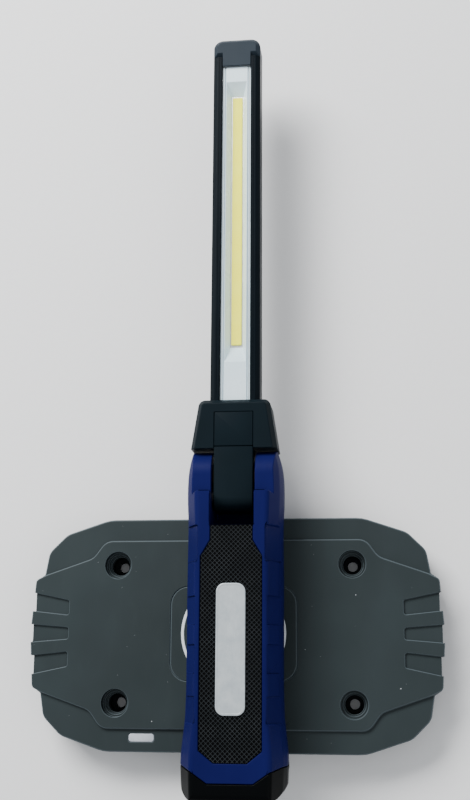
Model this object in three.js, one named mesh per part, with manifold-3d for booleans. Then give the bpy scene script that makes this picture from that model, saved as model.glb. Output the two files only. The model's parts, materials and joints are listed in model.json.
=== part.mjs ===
// Folding LED work light lying on its wireless charging pad.
// Millimetres, +Z up. The origin is the centre of the pad's flat underside. +Y points from the handle's
// base to the tip of the light bar, and +X to the right when the LEDs face up and the tip points away.
import * as THREE from "three";
import { mergeVertices } from "three/addons/utils/BufferGeometryUtils.js";
import Module from "manifold-3d";

const wasm = await Module();
wasm.setup();

// ---------------------------------------------------------------- driving dimensions

const GAP = 0.3; // clearance between neighbouring pieces

const PAD = {
  height: 18, // underside to the raised plate
  marginDrop: 1.6, // the margin round the plate lies this much lower
  split: 7, // parting height of the two covers
  ceiling: 14.4, // inside height under the top cover
  floor: 2.6, // thickness of the base cover
  holeX: 58.5, // mounting holes
  holeY: 33.5,
  ringRadius: 26, // outer radius of the target ring
  ringWidth: 1.5,
};

const LAMP = {
  x: 2.9, // where the lamp's centre line lies on the pad
  pivotY: 74.1, // hinge axis
  halfDepth: 17, // the handle's front and back, from the hinge axis
  earRadius: 12.5,
  slotHalf: 10.6, // half of the gap between the ears
  slotEnd: -25.3,
  slotFloor: -14, // a web closes the slot's back below this
  swingRadius: 18.6, // room for the knuckle to turn, cut into the web
  shoulder: -8.3, // where the full-depth part of the handle begins
  pinRadius: 3,
  baseEnd: -149.7,
  recessTop: -124.1, // upper edge of the hook's recess
  recessDepth: 5.2,
};
LAMP.pivotZ = PAD.height + GAP + LAMP.halfDepth;

const WALL = 2.7; // handle shells
const CAVITY_HALF = LAMP.halfDepth - WALL;

const BAR = {
  halfWidth: 12.4,
  halfDepth: 7.4,
  chamfer: 2.2,
  channelHalf: 7.6,
  channelFloor: -4.7,
  start: 20, // lower end, inside the collar
  frameEnd: 225,
  tip: 235.5,
  windowEnd: 219.4,
  cobStart: 67.4,
  cobEnd: 203.8,
};

const COLLAR = {
  halfDepth: 11,
  bottom: 12.9, // flat, just clear of the ears
  top: 37.6,
  bottomHalf: 21.9,
  topHalf: 17.4,
  coverStart: 14,
  coverEnd: 31,
};

const NECK = { half: 9.5, end: -17, cornerRadius: 6, top: 13.7 };

const HOOK = {
  pivotX: -14,
  pivotY: -138.1,
  eyeRadius: 7,
  bendX: 15, // centre of the bend at the free end
  bendY: -135.1,
  outer: 9.5,
  inner: 5,
  thickness: 4.4,
  tipX: 5.5, // where the hook's return arm ends
};

// ---------------------------------------------------------------- outlines

// A closed outline from corners [x, y, radius]; each corner becomes an arc tangent to both of its sides.
function rounded(corners) {
  const shape = new THREE.Shape();
  corners.forEach(([x, y, radius], i) => {
    const corner = new THREE.Vector2(x, y);
    const before = corners[(i + corners.length - 1) % corners.length];
    const after = corners[(i + 1) % corners.length];
    const back = new THREE.Vector2(before[0], before[1]).sub(corner).normalize();
    const ahead = new THREE.Vector2(after[0], after[1]).sub(corner).normalize();
    const half = Math.acos(THREE.MathUtils.clamp(back.dot(ahead), -1, 1)) / 2;
    const setback = radius / Math.tan(half);
    const sharp = setback < 0.02;
    const enter = sharp ? corner : corner.clone().addScaledVector(back, setback);
    if (i === 0) shape.moveTo(enter.x, enter.y);
    else shape.lineTo(enter.x, enter.y);
    if (sharp) return;
    const leave = corner.clone().addScaledVector(ahead, setback);
    const centre = corner.clone().add(back.clone().add(ahead).setLength(radius / Math.sin(half)));
    const from = Math.atan2(enter.y - centre.y, enter.x - centre.x);
    const to = Math.atan2(leave.y - centre.y, leave.x - centre.x);
    shape.absarc(centre.x, centre.y, radius, from, to, back.cross(ahead) > 0);
  });
  shape.closePath();
  return shape;
}

// The corners of one quadrant, from the X axis round to the Y axis, repeated in all four.
function fourfold(quadrant) {
  const flip = (list, sx, sy) => list.map(([x, y, r]) => [x * sx, y * sy, r]);
  const offAxis = quadrant.filter(([, y]) => y !== 0);
  return [
    ...quadrant,
    ...flip(offAxis, -1, 1).reverse(),
    ...flip(quadrant, -1, -1),
    ...flip(offAxis, 1, -1).reverse(),
  ];
}

// The right-hand corners, from bottom to top, with their mirror image.
function twofold(right) {
  return [...right, ...right.map(([x, y, r]) => [-x, y, r]).reverse()];
}

function rectangle(x0, x1, y0, y1, r = 0) {
  return rounded([[x0, y0, r], [x1, y0, r], [x1, y1, r], [x0, y1, r]]);
}

function circle(x, y, r) {
  const shape = new THREE.Shape();
  shape.absarc(x, y, r, 0, Math.PI * 2, false);
  return shape;
}

// ---------------------------------------------------------------- solids

// Outline in plan, from z0 to z1, with an optional chamfer [inwards, along z] round both faces.
function slab(shape, z0, z1, { chamfer = null, segments = 2 } = {}) {
  const [inwards, along] = chamfer ?? [0, 0];
  const geometry = new THREE.ExtrudeGeometry(shape, {
    depth: z1 - z0 - 2 * along,
    curveSegments: segments,
    bevelEnabled: chamfer !== null,
    bevelSize: inwards,
    bevelThickness: along,
    bevelOffset: -inwards,
    bevelSegments: 1,
  });
  return geometry.translate(0, 0, z0 + along);
}

// Outline in the YZ plane, from x0 to x1.
function sideways(shape, x0, x1, segments = 2) {
  const geometry = new THREE.ExtrudeGeometry(shape, {
    depth: x1 - x0,
    curveSegments: segments,
    bevelEnabled: false,
  });
  geometry.rotateY(Math.PI / 2).rotateX(Math.PI / 2);
  return geometry.translate(x0, 0, 0);
}

function box(x0, x1, y0, y1, z0, z1) {
  const geometry = new THREE.BoxGeometry(x1 - x0, y1 - y0, z1 - z0);
  return geometry.translate((x0 + x1) / 2, (y0 + y1) / 2, (z0 + z1) / 2);
}

// A round bar along an axis, from a to b on it; the centre gives its other two coordinates.
function rod(axis, centre, r, a, b, segments = 24) {
  const geometry = new THREE.CylinderGeometry(r, r, b - a, segments);
  if (axis === "x") geometry.rotateZ(-Math.PI / 2).translate((a + b) / 2, centre[0], centre[1]);
  if (axis === "y") geometry.translate(centre[0], (a + b) / 2, centre[1]);
  if (axis === "z") geometry.rotateX(Math.PI / 2).translate(centre[0], centre[1], (a + b) / 2);
  return geometry;
}

// A closed mesh with shared corners, ready to cut or join.
function solid(source) {
  if (source instanceof wasm.Manifold) return source;
  const bare = source.clone();
  bare.deleteAttribute("normal");
  bare.deleteAttribute("uv");
  const merged = mergeVertices(bare, 1e-4);
  return new wasm.Manifold(
    new wasm.Mesh({
      numProp: 3,
      vertProperties: new Float32Array(merged.attributes.position.array),
      triVerts: new Uint32Array(merged.index.array),
    }),
  );
}

const join = (first, ...rest) => rest.reduce((sum, next) => sum.add(solid(next)), solid(first));
const cut = (first, ...rest) => rest.reduce((sum, next) => sum.subtract(solid(next)), solid(first));
const common = (first, ...rest) => rest.reduce((sum, next) => sum.intersect(solid(next)), solid(first));
const mirrored = (shape) => solid(shape).mirror([1, 0, 0]);
const bothSides = (shape) => [solid(shape), mirrored(shape)];

// A screw pointing up: its head starts at z, and a cross recess is cut into the head's underside.
function screw(x, y, z, { headHeight, headRadius, shankRadius, top }) {
  const head = rod("z", [x, y], headRadius, z, z + headHeight, 16);
  const shank = rod("z", [x, y], shankRadius, z + 0.5, top, 10);
  const arm = headRadius * 0.62;
  const slotTop = z + headHeight * 0.5;
  const slots = [
    box(x - arm, x + arm, y - 0.35, y + 0.35, z - 1, slotTop),
    box(x - 0.35, x + 0.35, y - arm, y + arm, z - 1, slotTop),
  ];
  return cut(join(head, shank), ...slots);
}

function toGeometry(manifold) {
  const mesh = manifold.getMesh();
  const geometry = new THREE.BufferGeometry();
  geometry.setAttribute("position", new THREE.BufferAttribute(new Float32Array(mesh.vertProperties), 3));
  geometry.setIndex(new THREE.BufferAttribute(new Uint32Array(mesh.triVerts), 1));
  geometry.computeVertexNormals();
  return geometry;
}

// ---------------------------------------------------------------- finishes

const FINISH = {
  padPlastic: [0x454d52, 0.55, 0],
  padBase: [0x2b3033, 0.6, 0],
  white: [0xdfe6ea, 0.5, 0],
  indicator: [0x969faa, 0.3, 0],
  board: [0x1d4a2c, 0.5, 0],
  copper: [0xb06a3a, 0.35, 1],
  ferrite: [0x2c2c2e, 0.8, 0],
  steel: [0xb4b8bc, 0.3, 1],
  blue: [0x16225f, 0.5, 0],
  black: [0x14181c, 0.45, 0],
  grip: [0x101214, 0.8, 0],
  badge: [0xb9bec2, 0.35, 0.8],
  cellWrap: [0x2f7f4f, 0.4, 0],
  magnet: [0xc3c6ca, 0.25, 1],
  frame: [0x20282d, 0.4, 0.3],
  aluminium: [0xa8adb2, 0.35, 1],
  reflector: [0xd6e2e8, 0.3, 0],
  phosphor: [0xf0e870, 0.6, 0],
  lens: [0xe4f0f5, 0.1, 0],
  tip: [0x414b53, 0.5, 0],
  bronze: [0xa67c3d, 0.4, 1],
};

function piece(name, shape, finish) {
  const [color, roughness, metalness] = FINISH[finish];
  const geometry = shape instanceof wasm.Manifold ? toGeometry(shape) : shape;
  const mesh = new THREE.Mesh(geometry, new THREE.MeshStandardMaterial({ color, roughness, metalness }));
  mesh.name = name;
  return mesh;
}

// ---------------------------------------------------------------- charging pad

const PAD_OUTLINE = [
  [102.6, 0, 60], [100.7, 26.3, 2.5], [96.7, 29, 1], [94.8, 40.3, 7], [85.7, 49.3, 9], [63.8, 56.6, 18],
];
const PLATE_OUTLINE = [
  [102.6, 0, 60], [100.7, 26.3, 2.5], [95.4, 28.9, 1], [71.5, 37.1, 8], [65.2, 45.7, 7],
];
const BASE_OUTLINE = [
  [99.5, 0, 60], [98.8, 24.6, 2.5], [95, 27.6, 1], [93.2, 39.6, 7], [84.7, 48, 9], [63.5, 55, 18],
];
const CAVITY_OUTLINE = [
  [95, 0, 60], [94, 22, 3], [89.5, 37.5, 5], [82.5, 44.5, 6], [63, 51.2, 12],
];
const PAD_HOLES = [-1, 1].flatMap((sy) => [-1, 1].map((sx) => [sx * PAD.holeX, sy * PAD.holeY]));
const BOSS_RADIUS = 8.6; // round each mounting hole
const HOLE_RIM = 6.75;
const HOLE_STEP = 4.6;
const HOLE_THROUGH = 2.5;
const STEP_Z = 11; // the wide part of a mounting hole ends here
const SEAT_Z = 3.4; // the screw's seat

// Recessed grips in the wings: lower and upper edge at the inner end, and their slopes towards the rim.
const GRIPS = [
  { low: 8.8, high: 16.2, lowSlope: 0.11, highSlope: 0.21, notch: 100.4 },
  { low: -2.9, high: 2.9, lowSlope: -0.08, highSlope: 0.08, notch: 101.4 },
  { low: -16.2, high: -8.8, lowSlope: -0.21, highSlope: -0.11, notch: 100.4 },
];
const GRIP_INNER = 83;
const GRIP_OUTER = 105;
const GRIP_DEPTH = 1.2;

function gripOutline(grip, side, from) {
  const at = (x, y, slope) => y + (x - GRIP_INNER) * slope;
  const r = from === GRIP_INNER ? 1.3 : 0;
  const corners = [
    [side * from, at(from, grip.low, grip.lowSlope), r],
    [side * GRIP_OUTER, at(GRIP_OUTER, grip.low, grip.lowSlope), 0],
    [side * GRIP_OUTER, at(GRIP_OUTER, grip.high, grip.highSlope), 0],
    [side * from, at(from, grip.high, grip.highSlope), r],
  ];
  return rounded(side > 0 ? corners : corners.reverse());
}

const SOCKET = { x: -30, halfWidth: 5, height: 3.7, depth: 9.5, outerY: 55.4 };
const COVER_SCREWS = [[-40, -46], [40, -46], [-48, 45], [40, 45]];
const COVER_SCREW = { headHeight: 1.6, headRadius: 2.7, shankRadius: 1.2, top: 12 };
const PAD_BOARD = { x0: -43, x1: 35, y0: 5, y1: 46.5, thickness: 1.6 };
const BOARD_POSTS = [[-39, 10], [31, 10], [-39, 38], [31, 38]];
const WINDOW = { x0: -51.5, x1: -38.7, y0: -51.9, y1: -47.7, r: 1.3 };
const FRAME_LINE = { halfX: 31.5, halfY: 23.1, r: 9, width: 0.5, depth: 0.4 };
const RING_DEPTH = 0.5;
const MAGNET_X = 11; // holding magnets, either side of the lamp's centre line
const MAGNET_Y = -33;
const BOARD_Z = PAD.split - PAD_BOARD.thickness; // the board's top face is level with the parting plane

// The grooves in the plate's face: the target ring's, and the fine rounded rectangle round it.
function plateGrooves() {
  const { height, ringRadius, ringWidth } = PAD;
  const { halfX, halfY, r, width, depth } = FRAME_LINE;
  const inner = rectangle(-halfX + width, halfX - width, -halfY + width, halfY - width, r - width);
  return [
    cut(
      rod("z", [0, 0], ringRadius, height - RING_DEPTH, height + 1, 64),
      rod("z", [0, 0], ringRadius - ringWidth, height - 2, height + 2, 64),
    ),
    cut(
      slab(rectangle(-halfX, halfX, -halfY, halfY, r), height - depth, height + 1),
      slab(inner, height - 2, height + 2),
    ),
  ];
}

function padTopCover() {
  const low = PAD.split + GAP / 2;
  const marginTop = PAD.height - PAD.marginDrop;
  const margin = slab(rounded(fourfold(PAD_OUTLINE)), low, marginTop, { chamfer: [0.5, 0.5] });
  const plate = slab(rounded(fourfold(PLATE_OUTLINE)), PAD.ceiling, PAD.height, { chamfer: [0.4, 0.4] });
  const bosses = PAD_HOLES.map(([x, y]) => rod("z", [x, y], BOSS_RADIUS, low, PAD.height - 1, 20));
  const screwPosts = COVER_SCREWS.map(([x, y]) => rod("z", [x, y], 3.4, low, PAD.ceiling + 0.5, 12));
  const cavity = slab(rounded(fourfold(CAVITY_OUTLINE)), low - 1, PAD.ceiling);
  const grips = [-1, 1].flatMap((side) =>
    GRIPS.flatMap((grip) => [
      slab(gripOutline(grip, side, GRIP_INNER), PAD.height - GRIP_DEPTH, PAD.height + 1),
      slab(gripOutline(grip, side, grip.notch), low - 1, PAD.height + 1),
    ]),
  );
  const holes = PAD_HOLES.flatMap(([x, y]) => [
    rod("z", [x, y], HOLE_RIM, STEP_Z, PAD.height + 1, 28),
    rod("z", [x, y], HOLE_STEP, low - 1, STEP_Z + 1, 20),
  ]);
  const screwHoles = COVER_SCREWS.map(([x, y]) => rod("z", [x, y], 1.3, low - 1, 12.2, 10));
  const { x0, x1, y0, y1, r } = WINDOW;
  const window = slab(rectangle(x0, x1, y0, y1, r), PAD.ceiling - 1, PAD.height);
  const mouthHalf = SOCKET.halfWidth + GAP;
  const mouthTop = PAD.split + SOCKET.height + 2 * GAP;
  const socketHole = box(SOCKET.x - mouthHalf, SOCKET.x + mouthHalf, 49, 58, low - 1, mouthTop);
  const shell = join(cut(join(margin, plate), cavity, ...grips), ...bosses, ...screwPosts);
  return cut(shell, ...plateGrooves(), ...holes, ...screwHoles, window, socketHole);
}

function padBaseCover() {
  const high = PAD.split - GAP / 2;
  const tray = slab(rounded(fourfold(BASE_OUTLINE)), 0, high, { chamfer: [0.8, 0.8] });
  const cavity = slab(rounded(fourfold(CAVITY_OUTLINE)), PAD.floor, high + 2);
  const bosses = PAD_HOLES.map(([x, y]) => rod("z", [x, y], BOSS_RADIUS - 1.8, 1, high, 20));
  const posts = BOARD_POSTS.map(([x, y]) => rod("z", [x, y], 2.6, 1, BOARD_Z - 0.1, 10));
  const screwPosts = COVER_SCREWS.map(([x, y]) => rod("z", [x, y], 3.6, 1, high, 12));
  const holes = PAD_HOLES.flatMap(([x, y]) => [
    rod("z", [x, y], HOLE_STEP, SEAT_Z, high + 1, 20),
    rod("z", [x, y], HOLE_THROUGH, -1, SEAT_Z + 1, 20),
  ]);
  const screwHoles = COVER_SCREWS.flatMap(([x, y]) => [
    rod("z", [x, y], 1.7, -1, high + 1, 12),
    rod("z", [x, y], 3, -1, 2, 12),
  ]);
  return cut(join(cut(tray, cavity), ...bosses, ...posts, ...screwPosts), ...holes, ...screwHoles);
}

// The cord's socket: a sheet shell open towards +Y, with a contact tongue inside.
function inputSocket() {
  const { x, halfWidth, height, depth, outerY } = SOCKET;
  const low = PAD.split + 0.1;
  const mouthHalf = halfWidth - 0.7;
  return join(
    cut(
      box(x - halfWidth, x + halfWidth, outerY - depth, outerY, low, low + height),
      box(x - mouthHalf, x + mouthHalf, outerY - 6.5, outerY + 1, low + 0.7, low + height - 0.7),
    ),
    box(x - 3.2, x + 3.2, outerY - 7, outerY - 1.4, low + 1.5, low + 2.3),
  );
}

function padPieces() {
  const { ringRadius, ringWidth } = PAD;
  const ring = cut(
    rod("z", [0, 0], ringRadius - 0.08, PAD.height - RING_DEPTH + 0.05, PAD.height, 64),
    rod("z", [0, 0], ringRadius - ringWidth + 0.08, PAD.height - 2, PAD.height + 1, 64),
  );
  const { x0, x1, y0, y1, r } = WINDOW;
  const windowOutline = rectangle(x0 + 0.15, x1 - 0.15, y0 + 0.15, y1 - 0.15, r);
  const window = slab(windowOutline, PAD.ceiling, PAD.height - PAD.marginDrop - 0.2);
  const coilTop = PAD.ceiling - 0.1;
  const coil = cut(rod("z", [0, 0], 22, coilTop - 2, coilTop, 40), rod("z", [0, 0], 10, 0, 30, 28));
  const ferrite = slab(rectangle(-23, 23, -23, 23, 3), coilTop - 3.1, coilTop - 2.1);
  const board = PAD_BOARD;
  const pieces = [
    piece("pad_top_cover", padTopCover(), "padPlastic"),
    piece("pad_base_cover", padBaseCover(), "padBase"),
    piece("target_ring", ring, "white"),
    piece("indicator_window", window, "indicator"),
    piece("pad_circuit_board", box(board.x0, board.x1, board.y0, board.y1, BOARD_Z, PAD.split), "board"),
    piece("transmitter_coil", coil, "copper"),
    piece("transmitter_ferrite", ferrite, "ferrite"),
    piece("pad_input_socket", inputSocket(), "steel"),
  ];
  [-MAGNET_X, MAGNET_X].forEach((dx, i) => {
    const magnet = rod("z", [LAMP.x + dx, MAGNET_Y], 6, coilTop - 3, coilTop, 24);
    pieces.push(piece(`pad_magnet_${i + 1}`, magnet, "magnet"));
  });
  COVER_SCREWS.forEach(([x, y], i) => {
    pieces.push(piece(`pad_screw_${i + 1}`, screw(x, y, 0.3, COVER_SCREW), "steel"));
  });
  return pieces;
}

// ---------------------------------------------------------------- handle
// From here on, coordinates are measured from the hinge axis: x across, y towards the tip, z to the front.

// The handle's half width along its length.
const HALF_WIDTHS = [
  [-152, 24.2], [-143, 24.7], [-131.6, 25.1], [-122, 24.1], [-114, 23.1], [-100, 22.8], [-52, 23],
  [-24, 22.8], [-12, 23.5], [-4, 23.5], [2, 23.2], [7, 22.4], [10, 21.5], [14, 20],
];
const REFERENCE_HALF = 23;

const D = LAMP.halfDepth;
const SIDE_BEVEL = { innerX: 17, outerX: 21.8, outerZ: 7.5 };
const SECTION = twofold([
  [18.4, -D, 4.5], [REFERENCE_HALF, -8, 5], [REFERENCE_HALF, 1.5, 4],
  [SIDE_BEVEL.outerX, SIDE_BEVEL.outerZ, 7], [SIDE_BEVEL.innerX, D, 3],
]);

// The handle's outer skin: one section drawn along Y, one ring of it at each of the half widths above.
function handleSkin() {
  const steps = HALF_WIDTHS.length - 1;
  const geometry = new THREE.ExtrudeGeometry(rounded(SECTION), {
    depth: steps,
    steps,
    curveSegments: 2,
    bevelEnabled: false,
  });
  geometry.rotateX(Math.PI / 2).rotateZ(Math.PI);
  const position = geometry.attributes.position;
  for (let i = 0; i < position.count; i++) {
    const [y, halfWidth] = HALF_WIDTHS[Math.round(position.getY(i))];
    position.setX(i, (position.getX(i) * halfWidth) / REFERENCE_HALF);
    position.setY(i, y);
  }
  return solid(geometry);
}

// The base cap meets the shells along this line, seen from the front.
const CAP_LINE = { side: -134.8, kneeX: 18, knee: -136.8, flatX: 10.5, flat: -141.9 };

function capZone(shift) {
  const reach = 40;
  const { side, kneeX, knee, flatX, flat } = CAP_LINE;
  const front = rounded(twofold([
    [reach, -200, 0], [reach, side + shift, 0], [23.4, side + shift, 0],
    [kneeX, knee + shift, 0], [flatX, flat + shift, 0],
  ]));
  return join(slab(front, 0, reach), box(-reach, reach, -200, side + shift, -reach, 0));
}

// The handle as one block: its skin, with the plan and side view cut to shape, the slot and the recess.
function handleBody() {
  const { baseEnd, earRadius, slotHalf, slotEnd, slotFloor, swingRadius, shoulder } = LAMP;
  const plan = rounded(twofold([
    [20.5, baseEnd, 8], [25.4, -142, 12], [26, -100, 0], [26, -30, 0], [23.4, -20.5, 5],
    [20.4, shoulder, 6.5], [slotHalf - 0.5, shoulder, 0],
  ]));
  const trunk = slab(plan, -D - 1, D + 1, { segments: 3 });
  const ears = join(
    box(-30, 30, -40, 0, -earRadius, earRadius),
    rod("x", [0, 0], earRadius, -30, 30, 48),
  );
  const sideView = rounded([[baseEnd, -D, 3], [30, -D, 0], [30, D, 0], [baseEnd, D, 3.5]]);
  const body = common(handleSkin(), join(trunk, ears), sideways(sideView, -40, 40));
  const slot = join(
    box(-slotHalf, slotHalf, slotEnd, 30, slotFloor, 40),
    box(-slotHalf, slotHalf, 0, 30, -40, 40),
    rod("x", [0, 0], swingRadius, -slotHalf, slotHalf, 48),
  );
  const hookRecess = box(-40, 40, -200, LAMP.recessTop, -40, -D + LAMP.recessDepth);
  return cut(body, slot, hookRecess);
}

// The grip panel's outline, pushed out by "gap", with its upper end at "top".
function panelOutline(gap, top) {
  return rounded(twofold([
    [7.6 + gap, -132.7 - gap, 0], [14.3 + gap, -127.4, 0], [14.4 + gap, -39.8, 0],
    [9.9 + gap, -32.3, 0], [9.9 + gap, top, 0],
  ]));
}

const PANEL_FACE = D - 0.4; // the panel lies a little below the handle's front
const PANEL_DEPTH = 1.5;
const BADGE = { half: 6.9, low: -112.1, high: -52.3, r: 4 };
const FINGER_PADS = [
  { low: -41.9, high: -25, depth: 1.5 },
  { low: -71.2, high: -58.2, depth: 0.7 },
  { low: -93.2, high: -80.4, depth: 0.7 },
  { low: -115.7, high: -103.6, depth: 0.7 },
];

// A shallow recess in the right-hand bevel, parallel to it.
function fingerPad({ low, high, depth }) {
  const { innerX, outerX, outerZ } = SIDE_BEVEL;
  const slope = Math.atan2(D - outerZ, outerX - innerX);
  return box(-0.6, 15, low, high, -depth, 4).rotateY(slope).translate(innerX, 0, D);
}

// The handle's hollow narrows towards the front, so that the walls behind the bevels stay thick.
const CAVITY = {
  top: -27.8,
  bottom: -131.5,
  half: 19.4,
  frontHalf: 15.3,
  frontZ: 6.5,
  ceiling: CAVITY_HALF - 0.9,
  step: LAMP.recessTop + WALL, // beyond here the hook's recess makes it shallower
  stepZ: -9.4,
};
const SHELL_SCREWS = [[-15.5, -34.1], [15.5, -34.1], [-15.5, -118.1], [15.5, -118.1]];
const SHELL_SCREW = { headHeight: 1.7, headRadius: 2.9, shankRadius: 1.4, top: 8.6 };
const CELL = { radius: 9.2, z: 2, low: -120.1, high: -55.1 };
const CELL_RIBS = [-106, -68];
const BUTTON = { y: -41.1, radius: 5.5, flange: 7, face: -D + 0.6 };
const LAMP_BOARD = { half: 11, low: -88, high: -29.5, z: -10.7, thickness: 1.6 };

function handleCavity() {
  const { top, bottom, half, frontHalf, frontZ, ceiling, step, stepZ } = CAVITY;
  return join(
    slab(rectangle(-half, half, step, top, 3), -CAVITY_HALF, frontZ, { segments: 3 }),
    slab(rectangle(-frontHalf, frontHalf, step, top, 3), frontZ - 1, ceiling, { segments: 3 }),
    box(-half, half, bottom, step + 5, stepZ, frontZ),
    box(-frontHalf, frontHalf, bottom, step + 5, frontZ - 1, ceiling),
  );
}

// A rib across the handle's hollow, shaped to the battery cell.
function cradleRib(y) {
  const rib = box(-CAVITY.half - 1, CAVITY.half + 1, y - 1, y + 1, 1, CAVITY_HALF + 1);
  return cut(rib, rod("y", [0, CELL.z], CELL.radius + GAP, y - 3, y + 3, 24));
}

function pinBore() {
  return rod("x", [0, 0], LAMP.pinRadius + 0.1, -18.4, 18.4, 24);
}

function frontShell(body) {
  const frontHalf = box(-50, 50, -200, 50, GAP / 2, 50);
  const bosses = SHELL_SCREWS.map(([x, y]) => rod("z", [x, y], 3.6, GAP / 2, CAVITY_HALF, 12));
  const inside = common(body, join(...CELL_RIBS.map(cradleRib), ...bosses));
  const shell = join(cut(common(body, frontHalf), handleCavity(), capZone(GAP)), inside);
  const holes = SHELL_SCREWS.map(([x, y]) => rod("z", [x, y], 1.6, -1, 9, 10));
  const panelPocket = slab(panelOutline(GAP, LAMP.slotEnd + 5), PANEL_FACE - PANEL_DEPTH - 0.1, D + 5);
  const fingerPads = FINGER_PADS.flatMap((pad) => bothSides(fingerPad(pad)));
  return cut(shell, ...holes, panelPocket, ...fingerPads, pinBore());
}

function rearShell(body) {
  const rearHalf = box(-50, 50, -200, 50, -50, -GAP / 2);
  const bosses = SHELL_SCREWS.map(([x, y]) => rod("z", [x, y], 3.6, -CAVITY_HALF - 0.5, -GAP / 2, 12));
  const posts = [-31.5, -53].flatMap((y) =>
    [-9, 9].map((x) => rod("z", [x, y], 1.8, -CAVITY_HALF - 0.5, LAMP_BOARD.z - 0.1, 8)),
  );
  const shell = join(cut(common(body, rearHalf), handleCavity(), capZone(GAP)), ...bosses, ...posts);
  const holes = SHELL_SCREWS.flatMap(([x, y]) => [
    rod("z", [x, y], 1.9, -30, 1, 12),
    rod("z", [x, y], 3.2, -30, -D + 2.2, 14),
  ]);
  const buttonHole = rod("z", [0, BUTTON.y], BUTTON.radius + GAP, -30, -D + 4, 24);
  return cut(shell, ...holes, buttonHole, pinBore());
}

const HOOK_BACK = -D + 0.4; // the hook lies this far inside the handle's back

function baseCap(body) {
  const blank = common(body, capZone(0));
  const magnetPocket = rod("y", [0, 1.5], 9, LAMP.baseEnd + 1.6, -130, 24);
  const pivotHole = rod("z", [HOOK.pivotX, HOOK.pivotY], 2.6, -30, -3, 16);
  return cut(blank, magnetPocket, pivotHole);
}

function hookPlate() {
  const { pivotX, pivotY, eyeRadius, bendX, bendY, outer, inner, thickness, tipX } = HOOK;
  const low = HOOK_BACK;
  const high = low + thickness;
  const arm = rounded([
    [pivotX, pivotY - eyeRadius, 0], [bendX, bendY - outer, 0],
    [bendX, bendY - inner, 0], [pivotX, pivotY + 2, 0],
  ]);
  const bend = slab(circle(bendX, bendY, outer), low, high, { segments: 14 });
  const plate = join(
    slab(circle(pivotX, pivotY, eyeRadius), low, high, { chamfer: [0.6, 0.6], segments: 12 }),
    slab(arm, low, high),
    common(bend, box(bendX, 60, -200, 0, -40, 0)),
    box(tipX, bendX + 0.1, bendY + inner, bendY + outer, low, high),
    rod("z", [tipX, bendY + (inner + outer) / 2], (outer - inner) / 2, low, high, 16),
  );
  const opening = join(
    slab(circle(bendX, bendY, inner), low - 1, high + 1, { segments: 10 }),
    box(-2.5, bendX, bendY - inner, bendY + inner, low - 1, high + 1),
  );
  const rivetHole = rod("z", [pivotX, pivotY], 2.8, -30, 0, 16);
  const headRecess = rod("z", [pivotX, pivotY], 4.6, -30, low + 1.4, 20);
  return cut(plate, opening, rivetHole, headRecess);
}

function hookRivet() {
  const centre = [HOOK.pivotX, HOOK.pivotY];
  return join(
    rod("z", centre, 4.3, HOOK_BACK + 0.2, HOOK_BACK + 1.2, 20),
    rod("z", centre, 2.5, HOOK_BACK + 0.6, -4, 16),
  );
}

function gripPanel() {
  const { half, low, high, r } = BADGE;
  const bed = rectangle(-half - 0.1, half + 0.1, low - 0.1, high + 0.1, r);
  return cut(
    slab(panelOutline(0, LAMP.slotEnd + 0.2), PANEL_FACE - PANEL_DEPTH, PANEL_FACE),
    slab(bed, PANEL_FACE - 0.5, D + 3),
  );
}

function badgePlate() {
  const { half, low, high, r } = BADGE;
  const outline = rectangle(-half, half, low, high, r);
  return slab(outline, PANEL_FACE - 0.4, PANEL_FACE + 0.7, { chamfer: [0.3, 0.3] });
}

function powerButton() {
  const { y, radius, flange, face } = BUTTON;
  return join(
    rod("z", [0, y], radius, face, -CAVITY_HALF + 0.4, 24),
    rod("z", [0, y], flange, -CAVITY_HALF + 0.2, -CAVITY_HALF + 1.1, 24),
  );
}

// The switch under the circuit board that the button presses.
function tactileSwitch() {
  const top = LAMP_BOARD.z - 0.05;
  return join(
    box(-3, 3, BUTTON.y - 3, BUTTON.y + 3, top - 0.9, top),
    rod("z", [0, BUTTON.y], 1.6, top - 1.3, top - 0.5, 12),
  );
}

// A washer between the knuckle and one ear.
function frictionWasher(side) {
  const span = [NECK.half + 0.15, LAMP.slotHalf - 0.15].map((x) => x * side).sort((a, b) => a - b);
  return cut(rod("x", [0, 0], 7, ...span, 24), rod("x", [0, 0], LAMP.pinRadius + 0.2, -30, 30, 20));
}

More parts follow.
